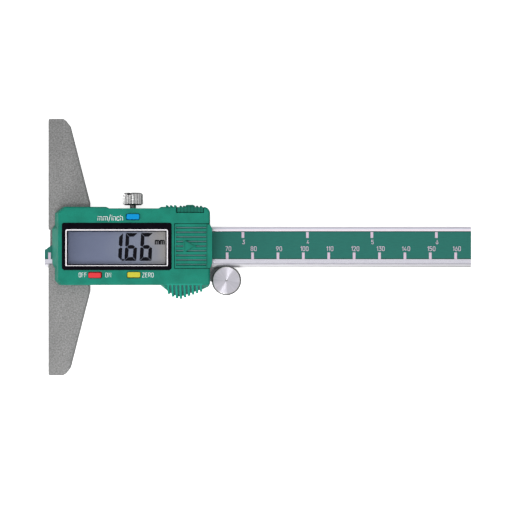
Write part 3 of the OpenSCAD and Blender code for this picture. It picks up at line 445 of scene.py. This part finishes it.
def cover_marks(m, body):
    """The cover's painted sheen on its groove floors, painted shade on the sides of its arrow and a
    line of painted shade at the step before its end.
    """
    front, right = high("housing").z, high("housing").x
    start, end = low("battery_cover"), high("battery_cover")
    x, y, z = m.axes("XYZ")
    groove = front - GROOVE_DEPTH
    floor = m.between(z, groove - SHEEN_BELOW, groove + SHEEN_ABOVE, SHEEN_BLUR)
    along = m.between(x, start.x + SHEEN_ENDS[0], right - SHEEN_ENDS[1], SHEEN_BLUR)
    inside = m.between(y, start.y + SHEEN_SIDES[0], end.y - SHEEN_SIDES[1], SHEEN_BLUR)
    sheened = m.mix(m.times(floor, m.times(along, inside)), body, GROOVE_SHEEN)
    # Painted shade at the step where the cover turns down to its end
    seam = m.between(x, right - SEAM_IN, right - SEAM_IN + SEAM_WIDTH, SEAM_BLUR)
    step_shaded = m.mix(m.times(seam, SEAM_STRENGTH), sheened, SEAM_SHADE)
    # Painted shade on the raised sides of the arrow
    arrow_shaded = m.between(z, front + ARROW_BAND, end.z - ARROW_BAND, ARROW_BLUR)
    return m.mix(arrow_shaded, step_shaded, ARROW_SHADE)


# The lowest part of the window line's lower bar stays black
LINE_TRIM = 0.2
LINE_BLUR = 0.03
LINE_BLACK = (0.003, 0.003, 0.005)


def line_marks(m, body):
    """The window's line: its lower bar is printed short of the bezel's step, which stays black."""
    edge = low("bezel_line").y + LINE_TRIM
    printed = m.remap(m.axis("Y"), edge - LINE_BLUR, edge + LINE_BLUR)
    return m.mix(printed, LINE_BLACK, body)


# The painted shadow in the gap along the lower edge of the bezel: its ends, the bezel's edge and its
# width
BEZEL_SPAN = (7.0, 48.2)
BEZEL_EDGE = -8.72
BEZEL_GAP = 0.3
GAP_SHADOW = shade(GREEN, 0.1)
# Where the grip's ribs begin across the housing, and their first and last place along it
GRIP_TOP = -14.2
GRIP_SPAN = (46.9, 60.8)
GRIP_BLUR = 0.1
GRIP_RANGE = (0.5, 0.9)
# Painted sheen in the valleys between the ribs, and a painted highlight on the rib tops
GRIP_VALLEY_SHEEN = (0.075, 0.19, 0.185)
GRIP_RIB_HIGHLIGHT = shade(GREEN, 1.4)


def housing_marks(m, body):
    """The housing's thumb grip, and the painted shadow in the gap along the lower edge of the bezel."""
    x, y = m.axes("XY")
    along = m.between(x, *BEZEL_SPAN, LINE_BLUR)
    below = m.between(y, BEZEL_EDGE - BEZEL_GAP, BEZEL_EDGE, LINE_BLUR)
    return m.mix(m.times(along, below), grip_marks(m, body), GAP_SHADOW)


def grip_marks(m, body):
    """The thumb grip: a painted grey sheen between its ribs, and a painted highlight along their tops.
    """
    x, y = m.axes("XY")
    along = m.between(x, *GRIP_SPAN, GRIP_BLUR)
    below = m.remap(y, GRIP_TOP - GRIP_BLUR, GRIP_TOP, 1.0, 0.0)
    ribs = m.mix(m.remap(m.crevices(), *GRIP_RANGE), GRIP_VALLEY_SHEEN, GRIP_RIB_HIGHLIGHT)
    return m.mix(m.times(along, below), body, ribs)


PORT_GREEN = shade(GREEN, 0.68)
PORT_RIB_SHADE = shade(GREEN, 0.2)
PORT_LINE_PITCH = 1.3
PORT_RIB_SHADE_TONE = 0.45
# The part of each wave over which a line of painted shade grows dark
PORT_LINE_RISE = (0.1, 0.9)


def port_marks(m, body):
    """The data port cover: faint lines of painted shade across it, in line with the ribs of its pull.
    """
    turns = m.times(m.axis("X"), 2 * math.pi / PORT_LINE_PITCH)
    lines = m.remap(m.maths("SINE", turns), *PORT_LINE_RISE, 0.0, PORT_RIB_SHADE_TONE)
    return m.mix(lines, body, PORT_RIB_SHADE)


GLOSS_DARK = (0.0025, 0.0015, 0.0045)
GLOSS_LIGHT = (0.004, 0.003, 0.006)


def gloss_black():
    """The bezel: gloss black with a faint ripple."""
    m = Nodes("gloss_black", specular=0.03)
    ripple = m.noise(m.place((0.3, 0.3, 0.3)), detail=2.0)
    m.feed(m.mix(m.contrast(ripple, 0.35), GLOSS_DARK, GLOSS_LIGHT), "base")
    m.rough(ripple, smooth=0.14, coarse=0.24)
    m.bump(ripple, depth=0.004)
    return m.material


LABEL_GREEN = (0.022, 0.162, 0.132)
LABEL_BORDER_SHADOW = (0.008, 0.07, 0.05)
# The line along the label's edges, partly a printed border and partly painted shadow of the recess
# walls, fades in between these distances from the edge
EDGE_LINE = (0.35, 0.21)


def printed_film():
    """The scale's printed film: a fine fibre in the colour, and a darker line along both edges that is
    partly a printed border and partly painted shadow of the recess walls.
    """
    m = Nodes("scale_film", specular=0.1)
    fibre = m.noise(m.place((0.5, 3, 3)), detail=4.0, roughness=0.6)
    body = m.shaded(m.contrast(fibre), LABEL_GREEN, darker=0.92, lighter=1.08)
    start, end = low("scale_label").y, high("scale_label").y
    off = m.maths("ABSOLUTE", m.maths("SUBTRACT", m.axis("Y"), (start + end) / 2))
    rim = m.remap(off, *((end - start) / 2 - width for width in EDGE_LINE))
    m.feed(m.mix(rim, body, LABEL_BORDER_SHADOW), "base")
    m.rough(fibre, smooth=0.42, coarse=0.55)
    m.bump(fibre, depth=0.002)
    return m.material


# The panel's colour at each share of its length, with a painted reflection that turns it greyer and
# warmer toward the right end
PANEL_COLOURS_WITH_REFLECTION = [(0.0, (0.118, 0.142, 0.23)), (0.35, (0.161, 0.189, 0.293)),
                 (0.75, (0.213, 0.241, 0.325)), (0.95, (0.31, 0.297, 0.295))]
PANEL_HAZE = 0.05


def display_glass():
    """The liquid crystal panel: violet-grey that turns greyer and warmer toward its right end, where a
    reflection is painted in.
    """
    m = Nodes("display_glass", specular=0.35)
    along = m.remap(m.axis("X"), low("lcd_panel").x, high("lcd_panel").x)
    haze = m.noise(m.place((0.12, 0.12, 0.12)), detail=2.0)
    along = m.maths("ADD", along, m.contrast(haze, 0.3, -PANEL_HAZE, PANEL_HAZE))
    m.feed(m.colours(along, PANEL_COLOURS_WITH_REFLECTION), "base")
    m.rough(haze, smooth=0.3, coarse=0.4)
    m.bump(haze, depth=0.002)
    return m.material


def clear_window():
    """The window: almost clear, with a faint haze in its gloss."""
    m = Nodes("clear_window", base=(0.03, 0.03, 0.035, 1), alpha=0.04, specular=0.05)
    haze = m.noise(m.place((0.5, 0.5, 0.5)), detail=2.0)
    m.rough(haze, smooth=0.15, coarse=0.22)
    m.bump(haze, depth=0.001)
    return m.material


# Finishes that several materials share
GREEN_FINISH = {"roughness": 0.42, "grain": 0.02, "specular": 0.12, "variation": 0.2}
BUTTON_FINISH = {"roughness": 0.3, "grain": 0.002, "specular": 0.1, "variation": 0.03}
PRINT_FINISH = {"roughness": 0.5, "grain": 0.002, "specular": 0.2, "variation": 0.02}
PLATED_FINISH = {"roughness": 0.25, "grain": 0.003}
BOARD_FINISH = {"roughness": 0.45, "grain": 0.004}
PRINT = (0.95, 0.92, 0.96)
SCALE_PRINT = (0.66, 0.52, 0.64)
DARK_PLASTIC = (0.02, 0.02, 0.02)


def node_materials():
    """The two printing materials, and the material of each CAD node."""
    screws = plain_metal("dark_screws", (0.16, 0.16, 0.17), 0.4)
    plated = plain_metal("plated_steel", (0.6, 0.6, 0.6), **PLATED_FINISH)
    gold = plain_metal("gold_contact", (0.7, 0.5, 0.2), **PLATED_FINISH)
    laminate = moulded("board_laminate", (0.05, 0.16, 0.07), **BOARD_FINISH)
    white = moulded("white_print", PRINT, **PRINT_FINISH)
    scale_white = moulded("scale_print", SCALE_PRINT, **PRINT_FINISH)
    return white, scale_white, {
        "base_frame": satin_steel(),
        "back_plate": ground_steel("plate_steel", (0.25, 6, 6), (0.5, 0.5, 0.52)),
        "back_plate_screws": screws, "cover_screws": screws, "gib_screws": screws,
        "bracket_screws": screws, "stop_screw": screws,
        "gib_strip": ground_steel("bronze_strip", (0.3, 5, 5), (0.55, 0.36, 0.16)),
        "lock_screw": lock_steel(),
        "beam": beam_steel(),
        "scale_strip": moulded("strip_laminate", (0.4, 0.32, 0.12), **BOARD_FINISH),
        "scale_label": printed_film(),
        "scale_marks": scale_white,
        "bezel_line": moulded("line_print", PRINT, **PRINT_FINISH, marks=line_marks),
        "roller_bracket": plain_metal("bracket_metal", (0.21, 0.235, 0.245), 0.4, metallic=0.3),
        "roller_axle": ground_steel("axle_steel", (5, 5, 0.5), (0.66, 0.65, 0.7)),
        "thumb_roller": roller_steel(),
        "housing": moulded("green_plastic", GREEN, **GREEN_FINISH, crevice_shade=0.7, marks=housing_marks),
        "battery_cover": moulded("cover_plastic", GREEN, **GREEN_FINISH, crevice_shade=0.85,
                                 marks=cover_marks),
        "port_cover": moulded("port_plastic", PORT_GREEN, **GREEN_FINISH, crevice_shade=0.75,
                              marks=port_marks),
        "bezel": gloss_black(),
        "display_window": clear_window(),
        "lcd_panel": display_glass(),
        "zebra_strips": moulded("black_rubber", (0.03, 0.03, 0.03), 0.7),
        "circuit_board": laminate, "reader_plate": laminate,
        "processor_chip": moulded("chip_plastic", DARK_PLASTIC, 0.5),
        "port_socket": moulded("socket_plastic", DARK_PLASTIC, 0.5),
        "crystal_can": plated, "key_switches": plated,
        "battery": ground_steel("cell_steel", (0.5, 7, 7), (0.62, 0.62, 0.63)),
        "unit_button": moulded("blue_plastic", (0.0, 0.29, 0.66), **BUTTON_FINISH),
        "power_button": moulded("red_plastic", (0.74, 0.045, 0.055), **BUTTON_FINISH),
        "zero_button": moulded("yellow_plastic", (0.6, 0.56, 0.05), **BUTTON_FINISH),
        "negative_contact": gold, "positive_contact": gold,
    }


# Softened edges on the CAD nodes: the width of each one's rounding
SOFT_EDGES = {
    "base_frame": 0.25, "back_plate": 0.1, "beam": 0.06, "housing": 0.16, "battery_cover": 0.15,
    "port_cover": 0.1, "bezel": 0.12, "unit_button": 0.18, "power_button": 0.18,
    "zero_button": 0.18, "lock_screw": 0.05, "roller_bracket": 0.1, "thumb_roller": 0.03,
    "bezel_line": 0.02, "lcd_panel": 0.05, "display_window": 0.05, "circuit_board": 0.05,
    "reader_plate": 0.03, "processor_chip": 0.08, "port_socket": 0.08, "key_switches": 0.06,
    "gib_strip": 0.05, "zebra_strips": 0.05, "battery": 0.05, "crystal_can": 0.05,
    "stop_screw": 0.05, "back_plate_screws": 0.03, "cover_screws": 0.03, "bracket_screws": 0.03,
    "gib_screws": 0.03, "roller_axle": 0.03, "negative_contact": 0.02, "positive_contact": 0.02,
}
WELD = 0.0005
FLAT_ANGLE = math.radians(1.0)
EDGE_ANGLE = math.radians(28)
NORMAL_WEIGHT = 60


def soften(obj, width):
    """Joins the triangles of each flat face, rounds the sharp edges and evens the shading."""
    weld = obj.modifiers.new("weld", "WELD")
    weld.merge_threshold = WELD * MM
    merge = obj.modifiers.new("merge", "DECIMATE")
    merge.decimate_type = "DISSOLVE"
    merge.angle_limit = FLAT_ANGLE
    bevel = obj.modifiers.new("bevel", "BEVEL")
    bevel.width = width * MM
    bevel.segments = 2
    bevel.limit_method = "ANGLE"
    bevel.angle_limit = EDGE_ANGLE
    bevel.use_clamp_overlap = True
    normals = obj.modifiers.new("normals", "WEIGHTED_NORMAL")
    normals.weight = NORMAL_WEIGHT


def dress_nodes():
    """Gives each CAD node its material and soft edges. Returns the two printing materials."""
    white, scale_white, materials = node_materials()
    for name, material in materials.items():
        obj = NODES[name]
        for slot in obj.material_slots:
            slot.material = material
        if not obj.material_slots:
            obj.data.materials.append(material)
        if name in SOFT_EDGES:
            soften(obj, SOFT_EDGES[name])
    return white, scale_white


# Thin flat pieces: printing and display segments


def flat_piece(name, shapes, bottom, top, material, body):
    """A piece made of upright prisms. Each shape is a convex outline, anticlockwise, in millimetres."""
    points, faces = [], []
    for shape in shapes:
        start, n = len(points), len(shape)
        points += [(x * MM, y * MM, z * MM) for z in (bottom, top) for x, y in shape]
        faces.append([start + n + i for i in range(n)])
        faces.append([start + i for i in reversed(range(n))])
        faces += [[start + i, start + (i + 1) % n, start + n + (i + 1) % n, start + n + i]
                  for i in range(n)]
    mesh = bpy.data.meshes.new(name)
    mesh.from_pydata(points, [], faces)
    mesh.update()
    mesh.materials.append(material)
    obj = bpy.data.objects.new(name, mesh)
    bpy.context.scene.collection.objects.link(obj)
    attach(obj, body)


# A narrow letter set drawn with strokes. A glyph is a list of strokes in a box of height 1, and
# a point is (x, y) or (x, y, radius of its rounded corner). A closed stroke ends with CLOSED.
CLOSED = "closed"
# The width of a wide glyph, the radius of a large and a small corner, and the height of a small
# letter
W = 0.44
R = 0.2
S = 0.16
LOW = 0.72
ARCH_START = 0.45


def ring(x0, y0, x1, y1, r):
    return [(x0, y0, r), (x1, y0, r), (x1, y1, r), (x0, y1, r), CLOSED]


def arch(x0, x1):
    return [(x0, ARCH_START), (x0, LOW, S), (x1, LOW, S), (x1, 0)]


GLYPHS = {
    "0": [ring(0, 0, W, 1, R)],
    "1": [[(0.0, 0.78), (0.2, 1), (0.2, 0)]],
    "2": [[(0, 0.76), (0, 1, R), (W, 1, R), (W, 0.6, 0.1), (0, 0), (W, 0)]],
    "3": [[(0, 1), (W, 1), (0.17, 0.62), (W, 0.58, 0.15), (W, 0, R), (0, 0, R), (0, 0.2)]],
    "4": [[(0.26, 1), (0, 0.25), (W + 0.04, 0.25)], [(0.33, 0.5), (0.33, 0)]],
    "5": [[(W, 1), (0.02, 1), (0, 0.56), (W, 0.6, R), (W, 0, R), (0, 0, R), (0, 0.2)]],
    "6": [ring(0, 0, W, 0.6, R), [(0.34, 1), (0.02, 0.42)]],
    "7": [[(0, 1), (W, 1), (0.13, 0)]],
    "8": [ring(0.02, 0.53, W - 0.02, 1, R), ring(0, 0, W, 0.53, R)],
    "9": [ring(0, 0.4, W, 1, R), [(W - 0.02, 0.58), (0.1, 0)]],
    "m": [[(0, 0), (0, LOW)], arch(0, 0.34), arch(0.34, 0.68)],
    "n": [[(0, 0), (0, LOW)], arch(0, 0.38)],
    "h": [[(0, 0), (0, 1)], arch(0, 0.38)],
    "i": [[(0.02, 0), (0.02, LOW)], [(0.02, 0.88), (0.02, 1)]],
    "c": [[(0.36, 0.52), (0.36, LOW, S), (0, LOW, S), (0, 0, S), (0.36, 0, S), (0.36, 0.2)]],
    "/": [[(0, -0.14), (0.3, 1.08)]],
    "O": [ring(0, 0, W, 1, R)],
    "F": [[(0, 0), (0, 1), (W - 0.02, 1)], [(0, 0.53), (W - 0.06, 0.53)]],
    "N": [[(0, 0), (0, 1), (W, 0), (W, 1)]],
    "Z": [[(0, 1), (W, 1), (0, 0), (W, 0)]],
    "E": [[(W - 0.02, 1), (0, 1), (0, 0), (W - 0.02, 0)], [(0, 0.53), (W - 0.06, 0.53)]],
    "R": [[(0, 0), (0, 1), (W, 1, R), (W, 0.47, R), (0, 0.47)], [(0.24, 0.47), (W, 0)]],
}
CORNER_STEPS = 5
# The corner of a bend lies no further from its middle than half the stroke's width divided by this
MITRE = 0.4


def corner(before, at, after, radius):
    """Points on the round corner at a point, between its two neighbours."""
    a, b, c = (Vector(p[:2]) for p in (before, at, after))
    u, v = (a - b).normalized(), (c - b).normalized()
    half = math.acos(max(-1, min(1, u.dot(v)))) / 2
    reach = min(radius / math.tan(half), (a - b).length * 0.5, (c - b).length * 0.5)
    start, end = b + u * reach, b + v * reach
    return [start.lerp(b, t).lerp(b.lerp(end, t), t)
            for t in (i / CORNER_STEPS for i in range(CORNER_STEPS + 1))]


def path(stroke):
    """The points along a stroke, with its corners rounded, and whether it is closed."""
    closed = stroke[-1] == CLOSED
    points = stroke[:-1] if closed else stroke
    n, out = len(points), []
    for i, p in enumerate(points):
        inner = closed or 0 < i < n - 1
        if inner and len(p) == 3:
            out += corner(points[i - 1], p, points[(i + 1) % n], p[2])
        else:
            out.append(Vector(p[:2]))
    return out, closed


def ribbon(points, closed, width):
    """Quads that follow a path at a given width, mitred where it bends."""
    n = len(points)

    def side(i):
        before = points[i - 1] if closed or i > 0 else None
        after = points[(i + 1) % n] if closed or i < n - 1 else None
        u = (points[i] - before).normalized() if before is not None else None
        v = (after - points[i]).normalized() if after is not None else None
        u, v = u or v, v or u
        across = Vector((-(u + v).y, (u + v).x)).normalized()
        return across * width / 2 / max(MITRE, across.dot(Vector((-u.y, u.x))))

    spans = range(n if closed else n - 1)
    return [[points[i] - side(i), points[j] - side(j), points[j] + side(j), points[i] + side(i)]
            for i, j in ((k, (k + 1) % n) for k in spans)]


def glyph_width(letter):
    return max(p[0] for stroke in GLYPHS[letter] for p in stroke if p != CLOSED)


def text_shapes(text, x, y, height, stroke, gap, stretch=1.0, centred=False):
    """The outlines of a word. The height is to the middle of the strokes, and so is the start."""
    widths = [glyph_width(letter) * height * stretch for letter in text]
    total = sum(widths) + gap * (len(text) - 1)
    at = x - total / 2 if centred else x
    shapes = []
    for letter, width in zip(text, widths):
        for part in GLYPHS[letter]:
            points, closed = path(part)
            points = [Vector((at + p.x * height * stretch, y + p.y * height)) for p in points]
            shapes += ribbon(points, closed, stroke)
        at += width + gap
    return shapes


# Thickness of the printing
PRINT_T = 0.02
INCH = 25.4
CENTIMETRE = 10
# The numbers' offset from their mark, their base line and their height, then their strokes
CM_SHIFT = 0.68
CM_BASE = -1.45
CM_HEIGHT = 1.65
INCH_SHIFT = 0.5
INCH_BASE = 1.3
INCH_HEIGHT = 1.44
SCALE_STROKE = {"stroke": 0.21, "gap": 0.48, "stretch": 1.12, "centred": True}


def scale_numerals(white):
    """Centimetre numbers beside the lower marks and inch numbers beside the upper marks."""
    z = high("scale_label").z
    right = high("scale_label").x
    shapes = []
    for number in range(1, int(right / CENTIMETRE) + 1):
        x = number * CENTIMETRE
        shapes += text_shapes(str(x), x + CM_SHIFT, CM_BASE, CM_HEIGHT, **SCALE_STROKE)
    for number in range(1, int(right / INCH) + 1):
        x = number * INCH
        shapes += text_shapes(str(number), x + INCH_SHIFT, INCH_BASE, INCH_HEIGHT, **SCALE_STROKE)
    flat_piece("scale_numerals", shapes, z, z + PRINT_T, white, "rod")


# Each label's word, its start and base line, its height, how wide it is drawn and its gaps
LABELS = [
    ("mm/inch", 20.25, 10.28, 2.1, 1.13, 0.5), ("OFF", 12.95, -11.69, 1.66, 1.0, 0.4),
    ("ON", 23.27, -11.69, 1.66, 1.12, 0.45), ("ZERO", 37.6, -11.69, 1.66, 1.03, 0.42),
]
# The labels' strokes, as a share of their height
LABEL_STROKE = 0.09


def button_labels(white):
    """The words beside the buttons, on the front face."""
    z = high("housing").z
    shapes = []
    for text, x, y, height, stretch, gap in LABELS:
        shapes += text_shapes(text, x, y, height, height * LABEL_STROKE, gap, stretch)
    flat_piece("button_labels", shapes, z, z + PRINT_T, white, "frame")


# Display segments: the size of a digit, the width of its upright and level segments, the gaps
# between them, and the lean of the digits
DIGIT_H = 10.8
DIGIT_W = 4.64
SEGMENT_V = 1.42
SEGMENT_H = 1.42
SEGMENT_GAP = 0.09
SEGMENT_T = 0.03
SLANT = 0.055
DIGIT_LOW = -5.38
DIGITS = ((24.74, "bc"), (30.46, "acdefg"), (36.36, "acdefg"))
# Shares of a segment's width, for the points where three segments meet
TIP = 0.5
NOTCH = 0.45
DROP = 0.25
DOT_X = 29.5
DOT_SIZE = 0.8
DOT_LEAN = 0.05
UNIT_AT = (42.5, 0.95)
UNIT_STROKE = {"height": 2.2, "stroke": 0.5, "gap": 0.5, "stretch": 0.97}
SEGMENT_BLACK = (0.003, 0.003, 0.006)


def digit_shapes(x, segments):
    """The lit segments of one digit: a top, b and c right, d bottom, e and f left, g middle."""
    w, h, v, t, g = DIGIT_W, DIGIT_H, SEGMENT_V, SEGMENT_H, SEGMENT_GAP
    mid = h / 2
    bar = {
        "a": [(g, h), (v + g, h - t), (w - v - g, h - t), (w - g, h)],
        "d": [(g, 0), (w - g, 0), (w - v - g, t), (v + g, t)],
        "g": [(v * TIP + g, mid), (v + g, mid - t / 2), (w - v - g, mid - t / 2),
              (w - v * TIP - g, mid), (w - v - g, mid + t / 2), (v + g, mid + t / 2)],
        "f": [(0, mid + g + t * DROP), (v * NOTCH, mid + g), (v, mid + t / 2 + g), (v, h - t - g),
              (0, h - g)],
        "e": [(0, g), (v, t + g), (v, mid - t / 2 - g), (v * NOTCH, mid - g),
              (0, mid - g - t * DROP)],
    }
    for left, right in (("f", "b"), ("e", "c")):
        bar[right] = [(w - px, py) for px, py in reversed(bar[left])]
    return [[(x + px + py * SLANT, DIGIT_LOW + py) for px, py in bar[s]] for s in segments]


def dot_shape():
    """The decimal point: a small square that leans as the digits do."""
    size = DOT_SIZE
    corners = ((0, 0), (1, 0), (1 + DOT_LEAN, 1), (DOT_LEAN, 1))
    return [(DOT_X + size * px, DIGIT_LOW + size * py) for px, py in corners]


def display_segments():
    """The reading 1.66 and the unit mm, on the panel under the window."""
    black = moulded("segment_black", SEGMENT_BLACK, 0.4, grain=0.001, specular=0.04)
    bottom = high("lcd_panel").z
    shapes = []
    for x, segments in DIGITS:
        shapes += digit_shapes(x, segments)
    shapes.append(dot_shape())
    shapes += text_shapes("mm", *UNIT_AT, **UNIT_STROKE)
    flat_piece("display_segments", shapes, bottom, bottom + SEGMENT_T, black, "frame")


# Light and floor. The floor's own glow is for the camera only: the gauge reflects a floor
# without it
FLOOR_SIZE = 3000
FLOOR_DROP = 0.05
FLOOR_DARK = (0.86, 0.86, 0.86)
FLOOR_LIGHT = (0.9, 0.9, 0.9)
FLOOR_GLOW = 0.75
FLOOR_DIM = 0.0


def make_floor():
    """A plain pale floor under the gauge."""
    half = FLOOR_SIZE / 2 * MM
    mesh = bpy.data.meshes.new("floor")
    z = (min(cad_box[0].z, 0) / MM - FLOOR_DROP) * MM
    mesh.from_pydata([(-half, -half, z), (half, -half, z), (half, half, z), (-half, half, z)],
                     [], [(0, 1, 2, 3)])
    floor = bpy.data.objects.new("floor", mesh)
    bpy.context.scene.collection.objects.link(floor)
    m = Nodes("pale_floor", specular=0.1)
    speckle = m.noise(m.place(), frequency=0.2)
    m.feed(m.mix(speckle, FLOOR_DARK, FLOOR_LIGHT), "base")
    m.rough(speckle, smooth=0.6, coarse=0.8)
    m.shader.inputs["Emission Color"].default_value = (*WHITE, 1)
    rays = m.add("ShaderNodeLightPath")
    glow = m.remap(rays.outputs["Is Camera Ray"], 0.0, 1.0, FLOOR_DIM, FLOOR_GLOW)
    m.link(glow, m.shader.inputs["Emission Strength"])
    mesh.materials.append(m.material)


# The room's glow, and the heights on the sky between which it grows from low to high
SKY_HIGH = 1.0
SKY_LOW = 0.25
SKY_EDGE = (0.5, 0.97)


def make_sky():
    """A soft white room: an even glow all round, and brighter straight above."""
    world = bpy.data.worlds.new("soft_room")
    bpy.context.scene.world = world
    world.use_nodes = True
    tree = world.node_tree
    background = tree.nodes["Background"]
    background.inputs["Color"].default_value = (*WHITE, 1)
    coordinates = tree.nodes.new("ShaderNodeTexCoord")
    split = tree.nodes.new("ShaderNodeSeparateXYZ")
    level = tree.nodes.new("ShaderNodeMapRange")
    limits = {"From Min": SKY_EDGE[0], "From Max": SKY_EDGE[1], "To Min": SKY_LOW, "To Max": SKY_HIGH}
    for name, number in limits.items():
        level.inputs[name].default_value = number
    tree.links.new(coordinates.outputs["Generated"], split.inputs["Vector"])
    tree.links.new(split.outputs["Z"], level.inputs["Value"])
    tree.links.new(level.outputs["Result"], background.inputs["Strength"])


CENTRE = Vector((60, 0, 8))
# Each light's name, the direction it stands in, its distance, its size and its power in watts
LIGHTS = [
    ("overhead", (0.15, -0.19, 1.0), 700, 70, 0.8),
    ("key", (-0.25, -0.85, 0.8), 900, 320, 2.6),
    ("back", (0.0, 0.92, 0.4), 900, 500, 0.4),
    ("side", (-0.9, -0.1, 0.4), 900, 300, 2.0),
]
# The small overhead light would flare on the bright ground metal, so it is kept off these nodes
UNLIT = {"overhead": ("beam", "thumb_roller", "lock_screw", "stop_screw")}


def make_light(name, direction, distance, size, power):
    """A square soft light that looks at the middle of the gauge. Returns the light."""
    data = bpy.data.lights.new(name, "AREA")
    data.shape = "SQUARE"
    data.size = size * MM
    data.energy = power
    light = bpy.data.objects.new(name, data)
    light.location = (CENTRE + Vector(direction).normalized() * distance) * MM
    light.rotation_euler = (-Vector(direction)).to_track_quat("-Z", "Y").to_euler()
    bpy.context.scene.collection.objects.link(light)
    return light


def keep_off(light, nodes):
    """Keeps a light off some nodes."""
    unlit = bpy.data.collections.new("unlit_by_" + light.name)
    light.light_linking.receiver_collection = unlit
    for name in nodes:
        unlit.objects.link(NODES[name])
    for member in unlit.collection_objects:
        member.light_linking.link_state = "EXCLUDE"


def make_lights():
    for name, *settings in LIGHTS:
        light = make_light(name, *settings)
        if name in UNLIT:
            keep_off(light, UNLIT[name])


make_camera()
white_print, scale_print = dress_nodes()
scale_numerals(scale_print)
button_labels(white_print)
display_segments()
make_floor()
make_sky()
make_lights()
bpy.context.scene.view_settings.view_transform = "Standard"
